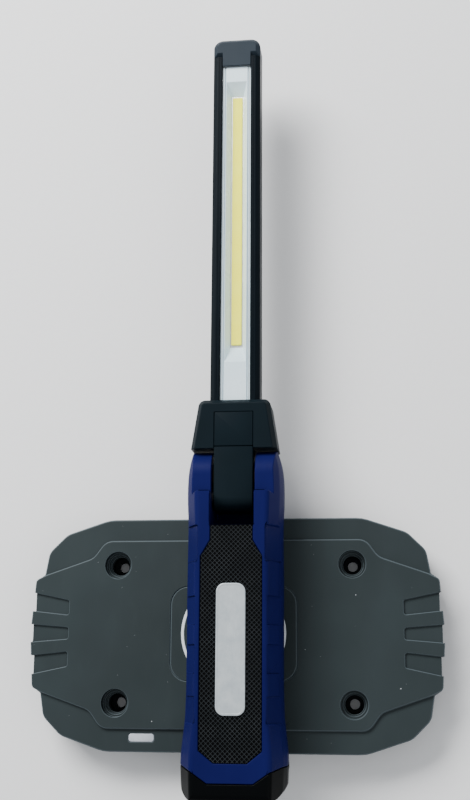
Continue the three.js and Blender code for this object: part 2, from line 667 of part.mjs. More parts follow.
function handlePieces() {
  const body = handleBody();
  const coilY = -LAMP.pivotY; // the receiver lies over the centre of the pad
  const coilLow = -CAVITY_HALF + 0.1;
  const coil = cut(rod("z", [0, coilY], 18.5, coilLow, coilLow + 1, 40), rod("z", [0, coilY], 8, -40, 0, 24));
  const ferrite = rectangle(-18.5, 18.5, coilY - 18.5, coilY + 18.5, 3);
  const { half, low, high, z, thickness } = LAMP_BOARD;
  const pieces = [
    piece("front_shell", frontShell(body), "blue"),
    piece("rear_shell", rearShell(body), "blue"),
    piece("base_cap", baseCap(body), "black"),
    piece("grip_panel", gripPanel(), "grip"),
    piece("badge_plate", badgePlate(), "badge"),
    piece("battery_cell", rod("y", [0, CELL.z], CELL.radius, CELL.low, CELL.high, 28), "cellWrap"),
    piece("cell_contact_upper", box(-5, 5, CELL.high + 0.15, CELL.high + 0.65, -3, 7), "steel"),
    piece("cell_contact_lower", box(-5, 5, CELL.low - 0.65, CELL.low - 0.15, -3, 7), "steel"),
    piece("lamp_circuit_board", box(-half, half, low, high, z, z + thickness), "board"),
    piece("tactile_switch", tactileSwitch(), "steel"),
    piece("receiver_coil", coil, "copper"),
    piece("receiver_ferrite", slab(ferrite, coilLow + 1.1, coilLow + 1.8), "ferrite"),
    piece("base_magnet", rod("y", [0, 1.5], 8.7, LAMP.baseEnd + 1.7, LAMP.baseEnd + 6.7, 28), "magnet"),
    piece("hinge_pin", rod("x", [0, 0], LAMP.pinRadius, -18.2, 18.2, 24), "steel"),
    piece("hook_pivot", hookRivet(), "steel"),
    piece("power_button", powerButton(), "black"),
    piece("hanging_hook", hookPlate(), "black"),
  ];
  [-1, 1].forEach((side, i) => {
    const magnet = rod("z", [side * MAGNET_X, MAGNET_Y - LAMP.pivotY], 5.5, coilLow, coilLow + 2.5, 24);
    pieces.push(piece(`rear_magnet_${i + 1}`, magnet, "magnet"));
    pieces.push(piece(`friction_washer_${i + 1}`, frictionWasher(side), "bronze"));
  });
  SHELL_SCREWS.forEach(([x, y], i) => {
    pieces.push(piece(`shell_screw_${i + 1}`, screw(x, y, -D + 0.4, SHELL_SCREW), "steel"));
  });
  return pieces;
}

// ---------------------------------------------------------------- light bar

// The bar's full section from low to high: its long edges are chamfered, and both ends are cut square.
function barBlank(low, high) {
  const { halfWidth, halfDepth, chamfer } = BAR;
  const outline = rectangle(-halfWidth, halfWidth, low - 10, high + 10);
  const long = slab(outline, -halfDepth, halfDepth, { chamfer: [chamfer, 2] });
  return common(long, box(-40, 40, low, high, -40, 40));
}

function barFrame() {
  const { halfDepth, channelHalf, channelFloor, start, frameEnd } = BAR;
  const channel = box(-channelHalf, channelHalf, start - 5, frameEnd + 5, channelFloor, halfDepth + 5);
  return cut(barBlank(start, frameEnd), channel);
}

// The bar's end: a head with two round corners, and a tongue that fills the channel down to the lens.
function tipCap() {
  const { halfWidth, halfDepth, chamfer, channelHalf, channelFloor, frameEnd, tip, windowEnd } = BAR;
  const outline = rounded(twofold([[halfWidth, frameEnd - 10, 0], [halfWidth, tip, 5]]));
  const head = slab(outline, -halfDepth, halfDepth, { chamfer: [chamfer, 2], segments: 6 });
  const side = channelHalf - 0.15;
  return join(
    common(head, box(-40, 40, frameEnd + 0.2, 300, -40, 40)),
    box(-side, side, windowEnd + 0.2, frameEnd + 1, channelFloor + 0.1, halfDepth),
  );
}

// A pit with sloping walls: its size at the floor, wider by "spread" and longer by "ease" at its mouth.
function pit(half, low, high, spread, ease, z0, z1) {
  const geometry = new THREE.BoxGeometry(2 * half, high - low, z1 - z0);
  geometry.translate(0, (low + high) / 2, (z0 + z1) / 2);
  const position = geometry.attributes.position;
  for (let i = 0; i < position.count; i++) {
    if (position.getZ(i) < z1 - 0.001) continue;
    position.setX(i, position.getX(i) + Math.sign(position.getX(i)) * spread);
    position.setY(i, position.getY(i) + Math.sign(position.getY(i) - (low + high) / 2) * ease);
  }
  return geometry;
}

const REFLECTOR_FACE = 5.9;
const BOARD_FACE = 0.9;
const COB_HALF = 2.6;
const COLLAR_SCREWS = [[-16, 20.5], [16, 20.5]];
const COLLAR_SCREW = { headHeight: 1.4, headRadius: 2.3, shankRadius: 1.2, top: 4.6 };
const TANG = { half: 6, halfDepth: 5, end: 19.4 }; // joins the knuckle to the collar

function reflector() {
  const { channelHalf, windowEnd, cobStart, cobEnd, start } = BAR;
  const half = channelHalf - 0.2;
  const blank = box(-half, half, start + 4, windowEnd, BOARD_FACE + 0.1, REFLECTOR_FACE);
  const mouth = REFLECTOR_FACE + 0.01;
  const slope = pit(COB_HALF + 0.3, cobStart - 0.3, cobEnd + 0.3, 2.6, 6.8, BOARD_FACE - 0.4, mouth);
  const boardRelief = box(-6.7, 6.7, 40, 213, BOARD_FACE - 3, BOARD_FACE + 0.1);
  return cut(blank, slope, boardRelief);
}

function knuckle() {
  const { half, end, cornerRadius, top } = NECK;
  const d = COLLAR.halfDepth;
  const side = rounded([[end, -d, cornerRadius], [top, -d, 0], [top, d, 0], [end, d, cornerRadius]]);
  const tang = box(-TANG.half, TANG.half, top - 1, TANG.end, -TANG.halfDepth, TANG.halfDepth);
  const bore = rod("x", [0, 0], LAMP.pinRadius + 0.15, -30, 30, 32);
  return cut(join(sideways(side, -half, half, 4), tang), bore);
}

function collarBlank() {
  const { halfDepth, bottomHalf, topHalf, top } = COLLAR;
  const outline = rounded(twofold([[bottomHalf, 9, 0], [topHalf, top, 3.5]]));
  return slab(outline, -halfDepth, halfDepth, { chamfer: [2.2, 3], segments: 5 });
}

// One half of the collar: side 1 is the front, which carries the cover, and side -1 the back.
function collarHalf(side) {
  const { halfDepth, bottom, coverStart, coverEnd, top } = COLLAR;
  const [low, high] = side > 0 ? [GAP / 3, 30] : [-30, -GAP / 3];
  const half = box(-50, 50, bottom, 60, low, high);
  const neckHalf = NECK.half + 0.2;
  const tangHalf = TANG.half + 0.2;
  const tangDepth = TANG.halfDepth + 0.2;
  const barHalf = BAR.halfWidth + 0.2;
  const barDepth = BAR.halfDepth + 0.2;
  const cuts = [
    box(-neckHalf, neckHalf, 0, NECK.top + 0.2, -30, 30),
    box(-tangHalf, tangHalf, 10, TANG.end + 0.2, -tangDepth, tangDepth),
    box(-barHalf, barHalf, BAR.start - 0.2, top + 5, -barDepth, barDepth),
  ];
  if (side > 0) {
    cuts.push(box(-NECK.half, NECK.half, coverStart, coverEnd, halfDepth - 1.2, 30));
    cuts.push(...COLLAR_SCREWS.map(([x, y]) => rod("z", [x, y], 1.35, -1, 5, 10)));
  } else {
    cuts.push(...COLLAR_SCREWS.flatMap(([x, y]) => [
      rod("z", [x, y], 1.5, -30, 1, 10),
      rod("z", [x, y], 2.6, -30, -halfDepth + 2, 14),
    ]));
  }
  return cut(common(collarBlank(), half), ...cuts);
}

function barPieces() {
  const { channelHalf, channelFloor, cobStart, cobEnd, windowEnd, start } = BAR;
  const { coverStart, coverEnd, halfDepth } = COLLAR;
  const inside = channelHalf - 0.2;
  const sink = box(-inside, inside, start + 4, windowEnd, channelFloor + 0.1, BOARD_FACE - 1.4);
  const lens = box(-inside, inside, start + 4, windowEnd, REFLECTOR_FACE + 0.1, BAR.halfDepth - 0.15);
  const strip = box(-COB_HALF, COB_HALF, cobStart, cobEnd, BOARD_FACE + 0.05, BOARD_FACE + 0.75);
  const coverHalf = NECK.half - 0.15;
  const cover = box(
    -coverHalf, coverHalf, coverStart + 0.15, coverEnd - 0.15, halfDepth - 1.1, halfDepth - 0.05,
  );
  const pieces = [
    piece("hinge_knuckle", knuckle(), "black"),
    piece("collar_front", collarHalf(1), "black"),
    piece("collar_rear", collarHalf(-1), "black"),
    piece("collar_cover", cover, "black"),
    piece("bar_frame", barFrame(), "frame"),
    piece("tip_cap", tipCap(), "tip"),
    piece("heat_sink", sink, "aluminium"),
    piece("led_board", box(-6.5, 6.5, 45, 212, BOARD_FACE - 1.3, BOARD_FACE), "aluminium"),
    piece("cob_strip", strip, "phosphor"),
    piece("reflector", reflector(), "reflector"),
    piece("lens", lens, "lens"),
  ];
  COLLAR_SCREWS.forEach(([x, y], i) => {
    pieces.push(piece(`collar_screw_${i + 1}`, screw(x, y, -halfDepth + 0.4, COLLAR_SCREW), "steel"));
  });
  return pieces;
}

// ---------------------------------------------------------------- assembly

const pad = new THREE.Group();
pad.add(...padPieces());

const lamp = new THREE.Group();
lamp.position.set(LAMP.x, LAMP.pivotY, LAMP.pivotZ);
lamp.add(...handlePieces(), ...barPieces());

const workLight = new THREE.Group();
workLight.add(pad, lamp);

export default workLight;
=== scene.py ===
"""Looks of the folding LED work light on its wireless charging pad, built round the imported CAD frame.

Shapes are made in millimetres and turned into metres when a piece is published. The pad's pieces are
measured from the centre of its underside, and the lamp's pieces from the hinge axis: x across, y to the tip,
z to the front.
"""

import json
import math

import bmesh
import bpy
import numpy as np
from mathutils import Matrix, Vector


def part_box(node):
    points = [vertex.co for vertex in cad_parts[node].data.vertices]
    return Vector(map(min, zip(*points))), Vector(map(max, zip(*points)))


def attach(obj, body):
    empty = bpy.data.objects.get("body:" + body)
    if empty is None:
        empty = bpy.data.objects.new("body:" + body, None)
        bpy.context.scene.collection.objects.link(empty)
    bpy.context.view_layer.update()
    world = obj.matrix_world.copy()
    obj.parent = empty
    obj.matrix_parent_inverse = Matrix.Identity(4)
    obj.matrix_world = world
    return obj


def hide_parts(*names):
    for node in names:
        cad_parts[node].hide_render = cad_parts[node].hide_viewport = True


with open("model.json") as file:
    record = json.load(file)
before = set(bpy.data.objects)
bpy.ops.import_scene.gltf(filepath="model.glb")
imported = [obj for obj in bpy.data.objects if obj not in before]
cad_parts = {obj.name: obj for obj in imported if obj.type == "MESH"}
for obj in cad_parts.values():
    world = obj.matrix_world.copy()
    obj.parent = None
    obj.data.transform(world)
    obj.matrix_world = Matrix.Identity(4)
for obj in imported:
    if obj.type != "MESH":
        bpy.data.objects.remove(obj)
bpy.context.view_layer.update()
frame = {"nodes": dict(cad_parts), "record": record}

MM = 0.001
ARC_STEPS = 9  # facets in a quarter turn
STRAIGHT = math.radians(89.9)  # a corner whose half angle is wider than this is left as a point
MITRE_LIMIT = 0.4  # keeps a sharp corner from running away when an outline is inset

JOINTS = {joint["name"]: joint for joint in frame["record"]["behaviour"]["joints"]}
PIVOT = Vector(JOINTS["bar_fold"]["pos_m"]) / MM
HOOK_PIVOT = Vector(JOINTS["hook_swing"]["pos_m"]) / MM - PIVOT
PAD_ORIGIN = Vector((0, 0, 0))


def cad(node, origin=PAD_ORIGIN):
    """Lowest and highest corner of a CAD node in millimetres, measured from the origin."""
    low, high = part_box(node)
    return Vector(low) / MM - origin, Vector(high) / MM - origin


# ---------------------------------------------------------------- outlines


def rounded(corners, steps=ARC_STEPS):
    """A closed outline from corners (x, y, radius), each turned into an arc tangent to its two sides."""
    points = []
    for i, (x, y, radius) in enumerate(corners):
        p = Vector((x, y))
        a = (Vector(corners[i - 1][:2]) - p).normalized()
        b = (Vector(corners[(i + 1) % len(corners)][:2]) - p).normalized()
        half = a.angle(b) / 2
        if radius == 0 or half > STRAIGHT:
            points.append(p)
            continue
        centre = p + (a + b).normalized() * (radius / math.sin(half))
        start = p + a * (radius / math.tan(half)) - centre
        sweep = math.pi - 2 * half
        turns = -1 if a.x * b.y - a.y * b.x > 0 else 1
        count = max(2, math.ceil(sweep / (math.pi / 2) * steps))
        angle = math.atan2(start.y, start.x)
        for k in range(count + 1):
            at = angle + turns * sweep * k / count
            points.append(centre + Vector((math.cos(at), math.sin(at))) * radius)
    return points


def fourfold(quadrant):
    """Corners of one quadrant, from the X axis round to the Y axis, repeated in all four."""
    off_axis = [c for c in quadrant if c[1] != 0]
    return (
        quadrant
        + [(-x, y, r) for x, y, r in reversed(off_axis)]
        + [(-x, -y, r) for x, y, r in quadrant]
        + [(x, -y, r) for x, y, r in reversed(off_axis)]
    )


def twofold(right):
    """The right-hand corners, from bottom to top, with their mirror image."""
    return right + [(-x, y, r) for x, y, r in reversed(right)]


def rectangle(x0, x1, y0, y1, r=0.0):
    return rounded([(x0, y0, r), (x1, y0, r), (x1, y1, r), (x0, y1, r)])


def circle(x, y, r, count=48):
    angles = [math.tau * k / count for k in range(count)]
    return [Vector((x + r * math.cos(at), y + r * math.sin(at))) for at in angles]


def inset(outline, distance):
    """An anticlockwise outline moved inwards, each point along the mean of its two sides' normals."""
    moved = []
    for i, p in enumerate(outline):
        before = (p - outline[i - 1]).normalized()
        after = (outline[(i + 1) % len(outline)] - p).normalized()
        normal = Vector((-before.y - after.y, before.x + after.x)).normalized()
        reach = normal.dot(Vector((-before.y, before.x)))
        moved.append(p + normal * (distance / max(reach, MITRE_LIMIT)))
    return moved


# ---------------------------------------------------------------- solids


def mesh_object(verts, faces):
    mesh = bpy.data.meshes.new("shape")
    mesh.from_pydata([tuple(v) for v in verts], [], faces)
    bm = bmesh.new()
    bm.from_mesh(mesh)
    bmesh.ops.recalc_face_normals(bm, faces=bm.faces)
    bm.to_mesh(mesh)
    bm.free()
    obj = bpy.data.objects.new("shape", mesh)
    bpy.context.scene.collection.objects.link(obj)
    return obj


def stack(rings):
    """A closed solid through rings of points, each with the same number of points."""
    count = len(rings[0])
    verts = [p for ring in rings for p in ring]
    faces = [tuple(range(count)), tuple(range(len(verts) - count, len(verts)))]
    for k in range(len(rings) - 1):
        a, b = k * count, (k + 1) * count
        faces += [(a + i, a + (i + 1) % count, b + (i + 1) % count, b + i) for i in range(count)]
    return mesh_object(verts, faces)


def placed(axis, u, v, w):
    """A point of an outline (u, v) drawn across an axis, at w along it."""
    return {"x": (w, u, v), "y": (u, w, v), "z": (u, v, w)}[axis]


def prism(outline, low, high, axis="z", lower=0.0, upper=0.0, steps=3):
    """An outline drawn along an axis from low to high, with its end faces rounded off by two radii."""
    profile = []
    for radius, face, sign in ((lower, low, 1), (upper, high, -1)):
        arc = []
        for k in range(steps + 1):
            at = math.pi / 2 * k / steps
            arc.append((radius * (1 - math.sin(at)), face + sign * radius * (1 - math.cos(at))))
        arc = arc if radius else [(0.0, face)]
        profile += arc if sign > 0 else arc[::-1]
    rings = [[placed(axis, *p, w) for p in (inset(outline, d) if d else outline)] for d, w in profile]
    return stack(rings)


def chamfered(outline, low, high, inwards, along):
    """A slab with a flat chamfer round both faces."""
    tight = inset(outline, inwards)
    rings = [(tight, low), (outline, low + along), (outline, high - along), (tight, high)]
    return stack([[(*p, z) for p in ring] for ring, z in rings])


def block(x0, x1, y0, y1, z0, z1):
    return prism(rectangle(x0, x1, y0, y1), z0, z1)


def rod(axis, centre, radius, low, high, lower=0.0, upper=0.0, count=48):
    return prism(circle(*centre, radius, count), low, high, axis, lower, upper)


def combine(mode, first, others):
    """The first solid joined with, cut by or kept within the others, which are used up."""
    for other in others:
        modifier = first.modifiers.new("combine", "BOOLEAN")
        modifier.object = other
        modifier.operation = mode
        modifier.solver = "MANIFOLD"
    graph = bpy.context.evaluated_depsgraph_get()
    made = bpy.data.meshes.new_from_object(first.evaluated_get(graph))
    first.modifiers.clear()
    first.data = made
    for other in others:
        bpy.data.objects.remove(other)
    return first


def join(first, *others):
    return combine("UNION", first, others)


def cut(first, *others):
    return combine("DIFFERENCE", first, others)


def common(first, *others):
    return combine("INTERSECT", first, others)


def duplicate(obj):
    twin = bpy.data.objects.new("shape", obj.data.copy())
    bpy.context.scene.collection.objects.link(twin)
    return twin


def moved(obj, matrix):
    obj.data.transform(matrix)
    if matrix.determinant() < 0:
        obj.data.flip_normals()
    return obj


MIRROR_X = Matrix.Diagonal((-1, 1, 1, 1))


# ---------------------------------------------------------------- materials


# The colour sockets of a mix node, which share their names with its other kinds of socket.
MIX_COLOUR_INPUTS = (0, 6, 7)
MIX_COLOUR_OUTPUT = 2

SLATE = (0.023, 0.032, 0.034)
# Paler slate painted on the pad cover's sloping faces as a painted edge highlight.
SLATE_EDGE_HIGHLIGHT = (0.07, 0.09, 0.1, 1)
BLUE = (0.0055, 0.0068, 0.062)
BLACK = (0.0042, 0.0088, 0.0122)
BLACKER = (0.0009, 0.0013, 0.0016, 1)


class Nodes:
    """A short way to write a material's node tree."""

    def __init__(self, name):
        self.material = bpy.data.materials.new(name)
        self.material.use_nodes = True
        self.tree = self.material.node_tree
        self.shader = self.tree.nodes["Principled BSDF"]
        self.place = self.add("ShaderNodeTexCoord").outputs["Object"]

    def add(self, kind, links=None, **settings):
        node = self.tree.nodes.new(kind)
        for key, value in settings.items():
            setattr(node, key, value)
        for socket, value in (links or {}).items():
            self.put(node.inputs[socket], value)
        return node

    def put(self, socket, value):
        if isinstance(value, bpy.types.NodeSocket):
            self.tree.links.new(value, socket)
        else:
            socket.default_value = value

    def noise(self, size_mm, detail=3.0, rough=0.6, vector=None):
        """Noise whose features are about size_mm across, from 0 to 1."""
        links = {"Vector": vector or self.place, "Scale": 1000 / size_mm, "Detail": detail, "Roughness": rough}
        return self.add("ShaderNodeTexNoise", links).outputs["Fac"]

    def stretched(self, x, y, z):
        """The place, with each axis scaled."""
        return self.add("ShaderNodeMapping", {"Vector": self.place, "Scale": (x, y, z)}).outputs["Vector"]

    def ranged(self, value, from_low, from_high, to_low, to_high):
        """The value moved from one range to another, and held within it."""
        links = {"Value": value, "From Min": from_low, "From Max": from_high}
        links.update({"To Min": to_low, "To Max": to_high})
        return self.add("ShaderNodeMapRange", links).outputs["Result"]

    def part_of(self, vector, axis):
        return self.add("ShaderNodeSeparateXYZ", {"Vector": vector}).outputs[axis]

    def blend(self, factor, first, second):
        node = self.add("ShaderNodeMix", data_type="RGBA")
        for index, value in zip(MIX_COLOUR_INPUTS, (factor, first, second)):
            self.put(node.inputs[index], value)
        return node.outputs[MIX_COLOUR_OUTPUT]

    def math(self, operation, a, b=0.0):
        return self.add("ShaderNodeMath", {0: a, 1: b}, operation=operation).outputs["Value"]

    def specks(self, size_mm, spacing_mm):
        """1 on dots of about size_mm, in some of the cells spacing_mm across, else 0."""
        node = self.add("ShaderNodeTexVoronoi", {"Vector": self.place, "Scale": 1000 / spacing_mm})
        near = self.math("LESS_THAN", node.outputs["Distance"], size_mm / spacing_mm / 2)
        split = self.add("ShaderNodeSeparateColor", {"Color": node.outputs["Color"]})
        return self.math("MULTIPLY", near, self.math("GREATER_THAN", split.outputs["Red"], 0.55))

    def bump(self, height, depth_mm, onto=None):
        links = {"Height": height, "Distance": depth_mm * MM}
        if onto:
            links["Normal"] = onto
        return self.add("ShaderNodeBump", links).outputs["Normal"]

    def set(self, **values):
        for key, value in values.items():
            self.put(self.shader.inputs[key.replace("_", " ").title().replace("Ior", "IOR")], value)
        return self.material


def shade(colour, factor):
    return (*(c * factor for c in colour), 1.0)


def moulded(
    name, colour, roughness, grain_mm=0.5, depth_mm=0.03, drift=0.12, dust=0.0, lit=None, edge_highlight=None, sheen=0.12
):
    """Moulded plastic: a fine eroded grain, slow drift of its shade, faint rubbing marks and optional dust.

    With an edge highlight colour, faces that slope between level and upright are paler: a painted highlight on
    bevels and fillets, standing in for the light they catch.
    """
    n = Nodes(name)
    grain = n.noise(grain_mm, detail=4.0, rough=0.7)
    slow = n.noise(45, detail=2.0)
    rubbed = n.noise(7, detail=5.0, rough=0.65, vector=n.stretched(1.0, 0.3, 1.0))
    tone = n.blend(n.ranged(slow, 0.3, 0.7, 0, 1), shade(colour, 1 - drift), shade(colour, 1 + drift))
    tone = n.blend(n.ranged(rubbed, 0.55, 0.8, 0, 0.16), tone, lit or shade(colour, 1.7))
    if dust:
        tone = n.blend(n.math("MULTIPLY", n.specks(0.45, 9), dust), tone, (0.75, 0.78, 0.8, 1))
        tone = n.blend(n.math("MULTIPLY", n.specks(0.25, 4), dust * 0.5), tone, (0.6, 0.63, 0.66, 1))
    # Painted highlight: faces that slope, the bevels and rounded edges, are made paler according to their
    # normal.
    if edge_highlight:
        level = n.part_of(n.add("ShaderNodeTexCoord").outputs["Normal"], "Z")
        slope_highlight = n.math("MULTIPLY", n.ranged(level, 0.25, 0.5, 0, 1), n.ranged(level, 0.9, 0.98, 1, 0))
        tone = n.blend(slope_highlight, tone, edge_highlight)
    wear = n.ranged(rubbed, 0.35, 0.75, -0.05, 0.07)
    gloss = n.math("ADD", wear, n.ranged(grain, 0.3, 0.7, roughness - 0.04, roughness + 0.04))
    return n.set(base_color=tone, roughness=gloss, normal=n.bump(grain, depth_mm), specular_ior_level=sheen)


def black_plastic():
    """Satin black: the base cap and hook are of a blacker grade than the collar and neck."""
    n = Nodes("black_plastic")
    grain = n.noise(0.4, detail=4.0, rough=0.7)
    slow = n.noise(30, detail=2.0)
    along = n.part_of(n.place, "Y")
    collar = n.blend(n.ranged(slow, 0.3, 0.7, 0, 1), shade(BLACK, 0.88), shade(BLACK, 1.12))
    tone = n.blend(n.ranged(along, -0.045, -0.035, 0, 1), BLACKER, collar)
    gloss = n.ranged(grain, 0.3, 0.7, 0.38, 0.46)
    return n.set(base_color=tone, roughness=gloss, normal=n.bump(grain, 0.02), specular_ior_level=0.05)


def metal(name, colour, roughness, along="y", scratch_mm=0.25):
    """Satin metal with a little tarnish and fine scratches drawn out along one axis."""
    n = Nodes(name)
    long = {"x": (0.04, 1, 1), "y": (1, 0.04, 1), "z": (1, 1, 0.04)}[along]
    scratches = n.noise(scratch_mm, detail=3.0, vector=n.stretched(*long))
    tarnish = n.noise(12, detail=3.0)
    tone = n.blend(n.ranged(tarnish, 0.35, 0.7, 0, 1), shade(colour, 0.88), shade(colour, 1.04))
    gloss = n.ranged(scratches, 0.3, 0.7, roughness - 0.08, roughness + 0.1)
    return n.set(base_color=tone, roughness=gloss, metallic=1.0, normal=n.bump(scratches, 0.012))


def knurled_rubber():
    """Black rubber: its ridge tops are paler, partly rubbing wear and partly a painted highlight, and the slopes
    and pits below them are near black as painted shade.
    """
    n = Nodes("knurled_rubber")
    grain = n.noise(0.25, detail=4.0)
    worn = n.noise(9, detail=4.0)
    top = cad("grip_panel")[1].z * MM
    height = n.part_of(n.place, "Z")
    # Painted highlight and shade: only the ridge tops get the paler tone, and everything lower is painted near
    # black.
    ridge = n.ranged(height, top - 0.12 * MM, top - 0.02 * MM, 0, 1)
    rubbed = n.blend(n.ranged(worn, 0.4, 0.7, 0, 1), (0.022, 0.026, 0.029, 1), (0.036, 0.041, 0.045, 1))
    tone = n.blend(ridge, (0.0012, 0.0014, 0.0017, 1), rubbed)
    gloss = n.ranged(worn, 0.3, 0.7, 0.55, 0.4)
    return n.set(base_color=tone, roughness=gloss, normal=n.bump(grain, 0.02), specular_ior_level=0.06)


def badge_metal():
    """A silvery foil badge: a faint cloudiness and hairlines along its length, under a clear coat."""
    n = Nodes("badge_metal")
    hairlines = n.noise(0.2, detail=2.0, vector=n.stretched(1, 0.05, 1))
    cloud = n.noise(6, detail=4.0)
    tone = n.blend(n.ranged(cloud, 0.3, 0.7, 0, 1), (0.44, 0.49, 0.52, 1), (0.56, 0.61, 0.63, 1))
    gloss = n.ranged(hairlines, 0.3, 0.7, 0.34, 0.5)
    return n.set(
        base_color=tone, roughness=gloss, metallic=0.35, normal=n.bump(hairlines, 0.01),
        coat_weight=0.3, coat_roughness=0.15,
    )


def phosphor():
    """Silicone-potted phosphor: mottled yellow with a faint painted glow, since the strip is not switched on,
    and faint paler bands about 16 mm apart.
    """
    n = Nodes("phosphor")
    mottled = n.noise(1.6, detail=4.0)
    links = {"Vector": n.place, "Scale": 1000 / 52, "Distortion": 0.0}
    bands = n.add("ShaderNodeTexWave", links, bands_direction="Y")
    yellow = n.blend(n.ranged(mottled, 0.35, 0.7, 0, 1), (0.93, 0.86, 0.0, 1), (0.98, 0.93, 0.01, 1))
    tone = n.blend(n.ranged(bands.outputs["Fac"], 0.4, 1.0, 0.0, 0.3), yellow, (0.98, 0.96, 0.06, 1))
    # The emission is a painted glow on the switched-off strip.
    return n.set(
        base_color=tone, roughness=0.5, normal=n.bump(mottled, 0.05), emission_color=(1.0, 0.93, 0.03, 1),
        emission_strength=0.3, specular_ior_level=0.2,
    )


def white_reflector():
    n = Nodes("white_reflector")
    orange_peel = n.noise(1.4, detail=2.0)
    haze = n.noise(20, detail=3.0)
    tone = n.blend(n.ranged(haze, 0.3, 0.7, 0, 1), (0.72, 0.88, 0.95, 1), (0.8, 0.94, 1.0, 1))
    gloss = n.ranged(haze, 0.3, 0.7, 0.22, 0.32)
    return n.set(base_color=tone, roughness=gloss, normal=n.bump(orange_peel, 0.02))


def clear_lens():
    n = Nodes("clear_lens")
    smears = n.noise(14, detail=4.0, vector=n.stretched(1, 0.4, 1))
    gloss = n.ranged(smears, 0.35, 0.75, 0.04, 0.14)
    return n.set(base_color=(0.9, 0.96, 1.0, 1), roughness=gloss, alpha=0.03, ior=1.4)


def printed_white():
    n = Nodes("printed_white")
    worn = n.noise(1.1, detail=5.0)
    tone = n.blend(n.ranged(worn, 0.5, 0.8, 0, 0.5), (0.8, 0.84, 0.86, 1), (0.5, 0.54, 0.57, 1))
    return n.set(base_color=tone, roughness=n.ranged(worn, 0.3, 0.7, 0.4, 0.55), normal=n.bump(worn, 0.01))


def indicator_diffuser():
    n = Nodes("indicator_diffuser")
    frost = n.noise(0.4, detail=3.0)
    tone = n.blend(n.ranged(n.noise(5), 0.3, 0.7, 0, 1), (0.42, 0.45, 0.5, 1), (0.55, 0.58, 0.62, 1))
    return n.set(
        base_color=tone, roughness=n.ranged(frost, 0.3, 0.7, 0.25, 0.4), normal=n.bump(frost, 0.02),
        subsurface_weight=0.15, subsurface_radius=(0.002, 0.002, 0.002),
    )


def wound_wire():
    """Copper wire wound flat round the Z axis: broad rings of lighter and darker enamel."""
    n = Nodes("wound_wire")
    links = {"Vector": n.place, "Scale": 40, "Distortion": 0.3}
    wave = n.add("ShaderNodeTexWave", links, wave_type="RINGS", rings_direction="Z")
    tone = n.blend(wave.outputs["Fac"], (0.3, 0.11, 0.04, 1), (0.75, 0.36, 0.18, 1))
    gloss = n.ranged(n.noise(3), 0.3, 0.7, 0.25, 0.45)
    return n.set(base_color=tone, roughness=gloss, metallic=1.0, normal=n.bump(wave.outputs["Fac"], 0.2))


def circuit_board_mask():
    n = Nodes("circuit_board_mask")
    tracks = n.add("ShaderNodeTexBrick", {"Vector": n.place, "Scale": 350, "Mortar Size": 0.05})
    green = n.blend(n.noise(8), (0.01, 0.1, 0.035, 1), (0.02, 0.17, 0.06, 1))
    tone = n.blend(n.math("MULTIPLY", tracks.outputs["Fac"], 0.5), green, (0.08, 0.3, 0.12, 1))
    gloss = n.ranged(n.noise(2), 0.3, 0.7, 0.3, 0.45)
    return n.set(base_color=tone, roughness=gloss, normal=n.bump(tracks.outputs["Fac"], 0.03))


MATERIALS = {
    "pad_cover": moulded(
        "slate_cover", SLATE, 0.5, grain_mm=0.45, depth_mm=0.03, dust=0.8,
        lit=shade(SLATE, 1.5), edge_highlight=SLATE_EDGE_HIGHLIGHT, sheen=0.15,
    ),
    "pad_base": moulded("dark_base", (0.007, 0.009, 0.011), 0.6, grain_mm=0.6, depth_mm=0.05),
    "ring_print": printed_white(),
    "indicator": indicator_diffuser(),
    "circuit_board": circuit_board_mask(),
    "copper": wound_wire(),
    "ferrite": moulded("sintered_ferrite", (0.02, 0.02, 0.021), 0.75, grain_mm=0.3, depth_mm=0.06),
    "steel": metal("plated_steel", (0.55, 0.56, 0.58), 0.28, along="z"),
    "magnet": metal("nickel_plate", (0.6, 0.61, 0.62), 0.2, along="x", scratch_mm=0.5),
    "blue_shell": moulded("blue_shell", BLUE, 0.42, grain_mm=0.4, depth_mm=0.022, drift=0.1, sheen=0.03),
    "black_plastic": black_plastic(),
    "grip": knurled_rubber(),
    "badge": badge_metal(),
    "cell": moulded("shrink_wrap", (0.03, 0.22, 0.08), 0.3, grain_mm=3.0, depth_mm=0.05),
    "bar_black": moulded(
        "bar_black", (0.0032, 0.0062, 0.009), 0.36, grain_mm=0.35, depth_mm=0.014, drift=0.08, sheen=0.05,
    ),
    "aluminium": metal("milled_aluminium", (0.66, 0.68, 0.7), 0.32),
    "reflector": white_reflector(),
    "phosphor": phosphor(),
    "lens": clear_lens(),
    "tip": moulded("slate_tip", (0.015, 0.0235, 0.033), 0.45, grain_mm=0.4, depth_mm=0.02),
    "bronze": metal("oiled_bronze", (0.07, 0.055, 0.04), 0.45, along="x"),
}


# ---------------------------------------------------------------- publishing

SLOTS = {part["node"]: part["material_slot"] for part in frame["record"]["subparts"]}
BODIES = {node: body for body, nodes in frame["record"]["behaviour"]["bodies"].items() for node in nodes}


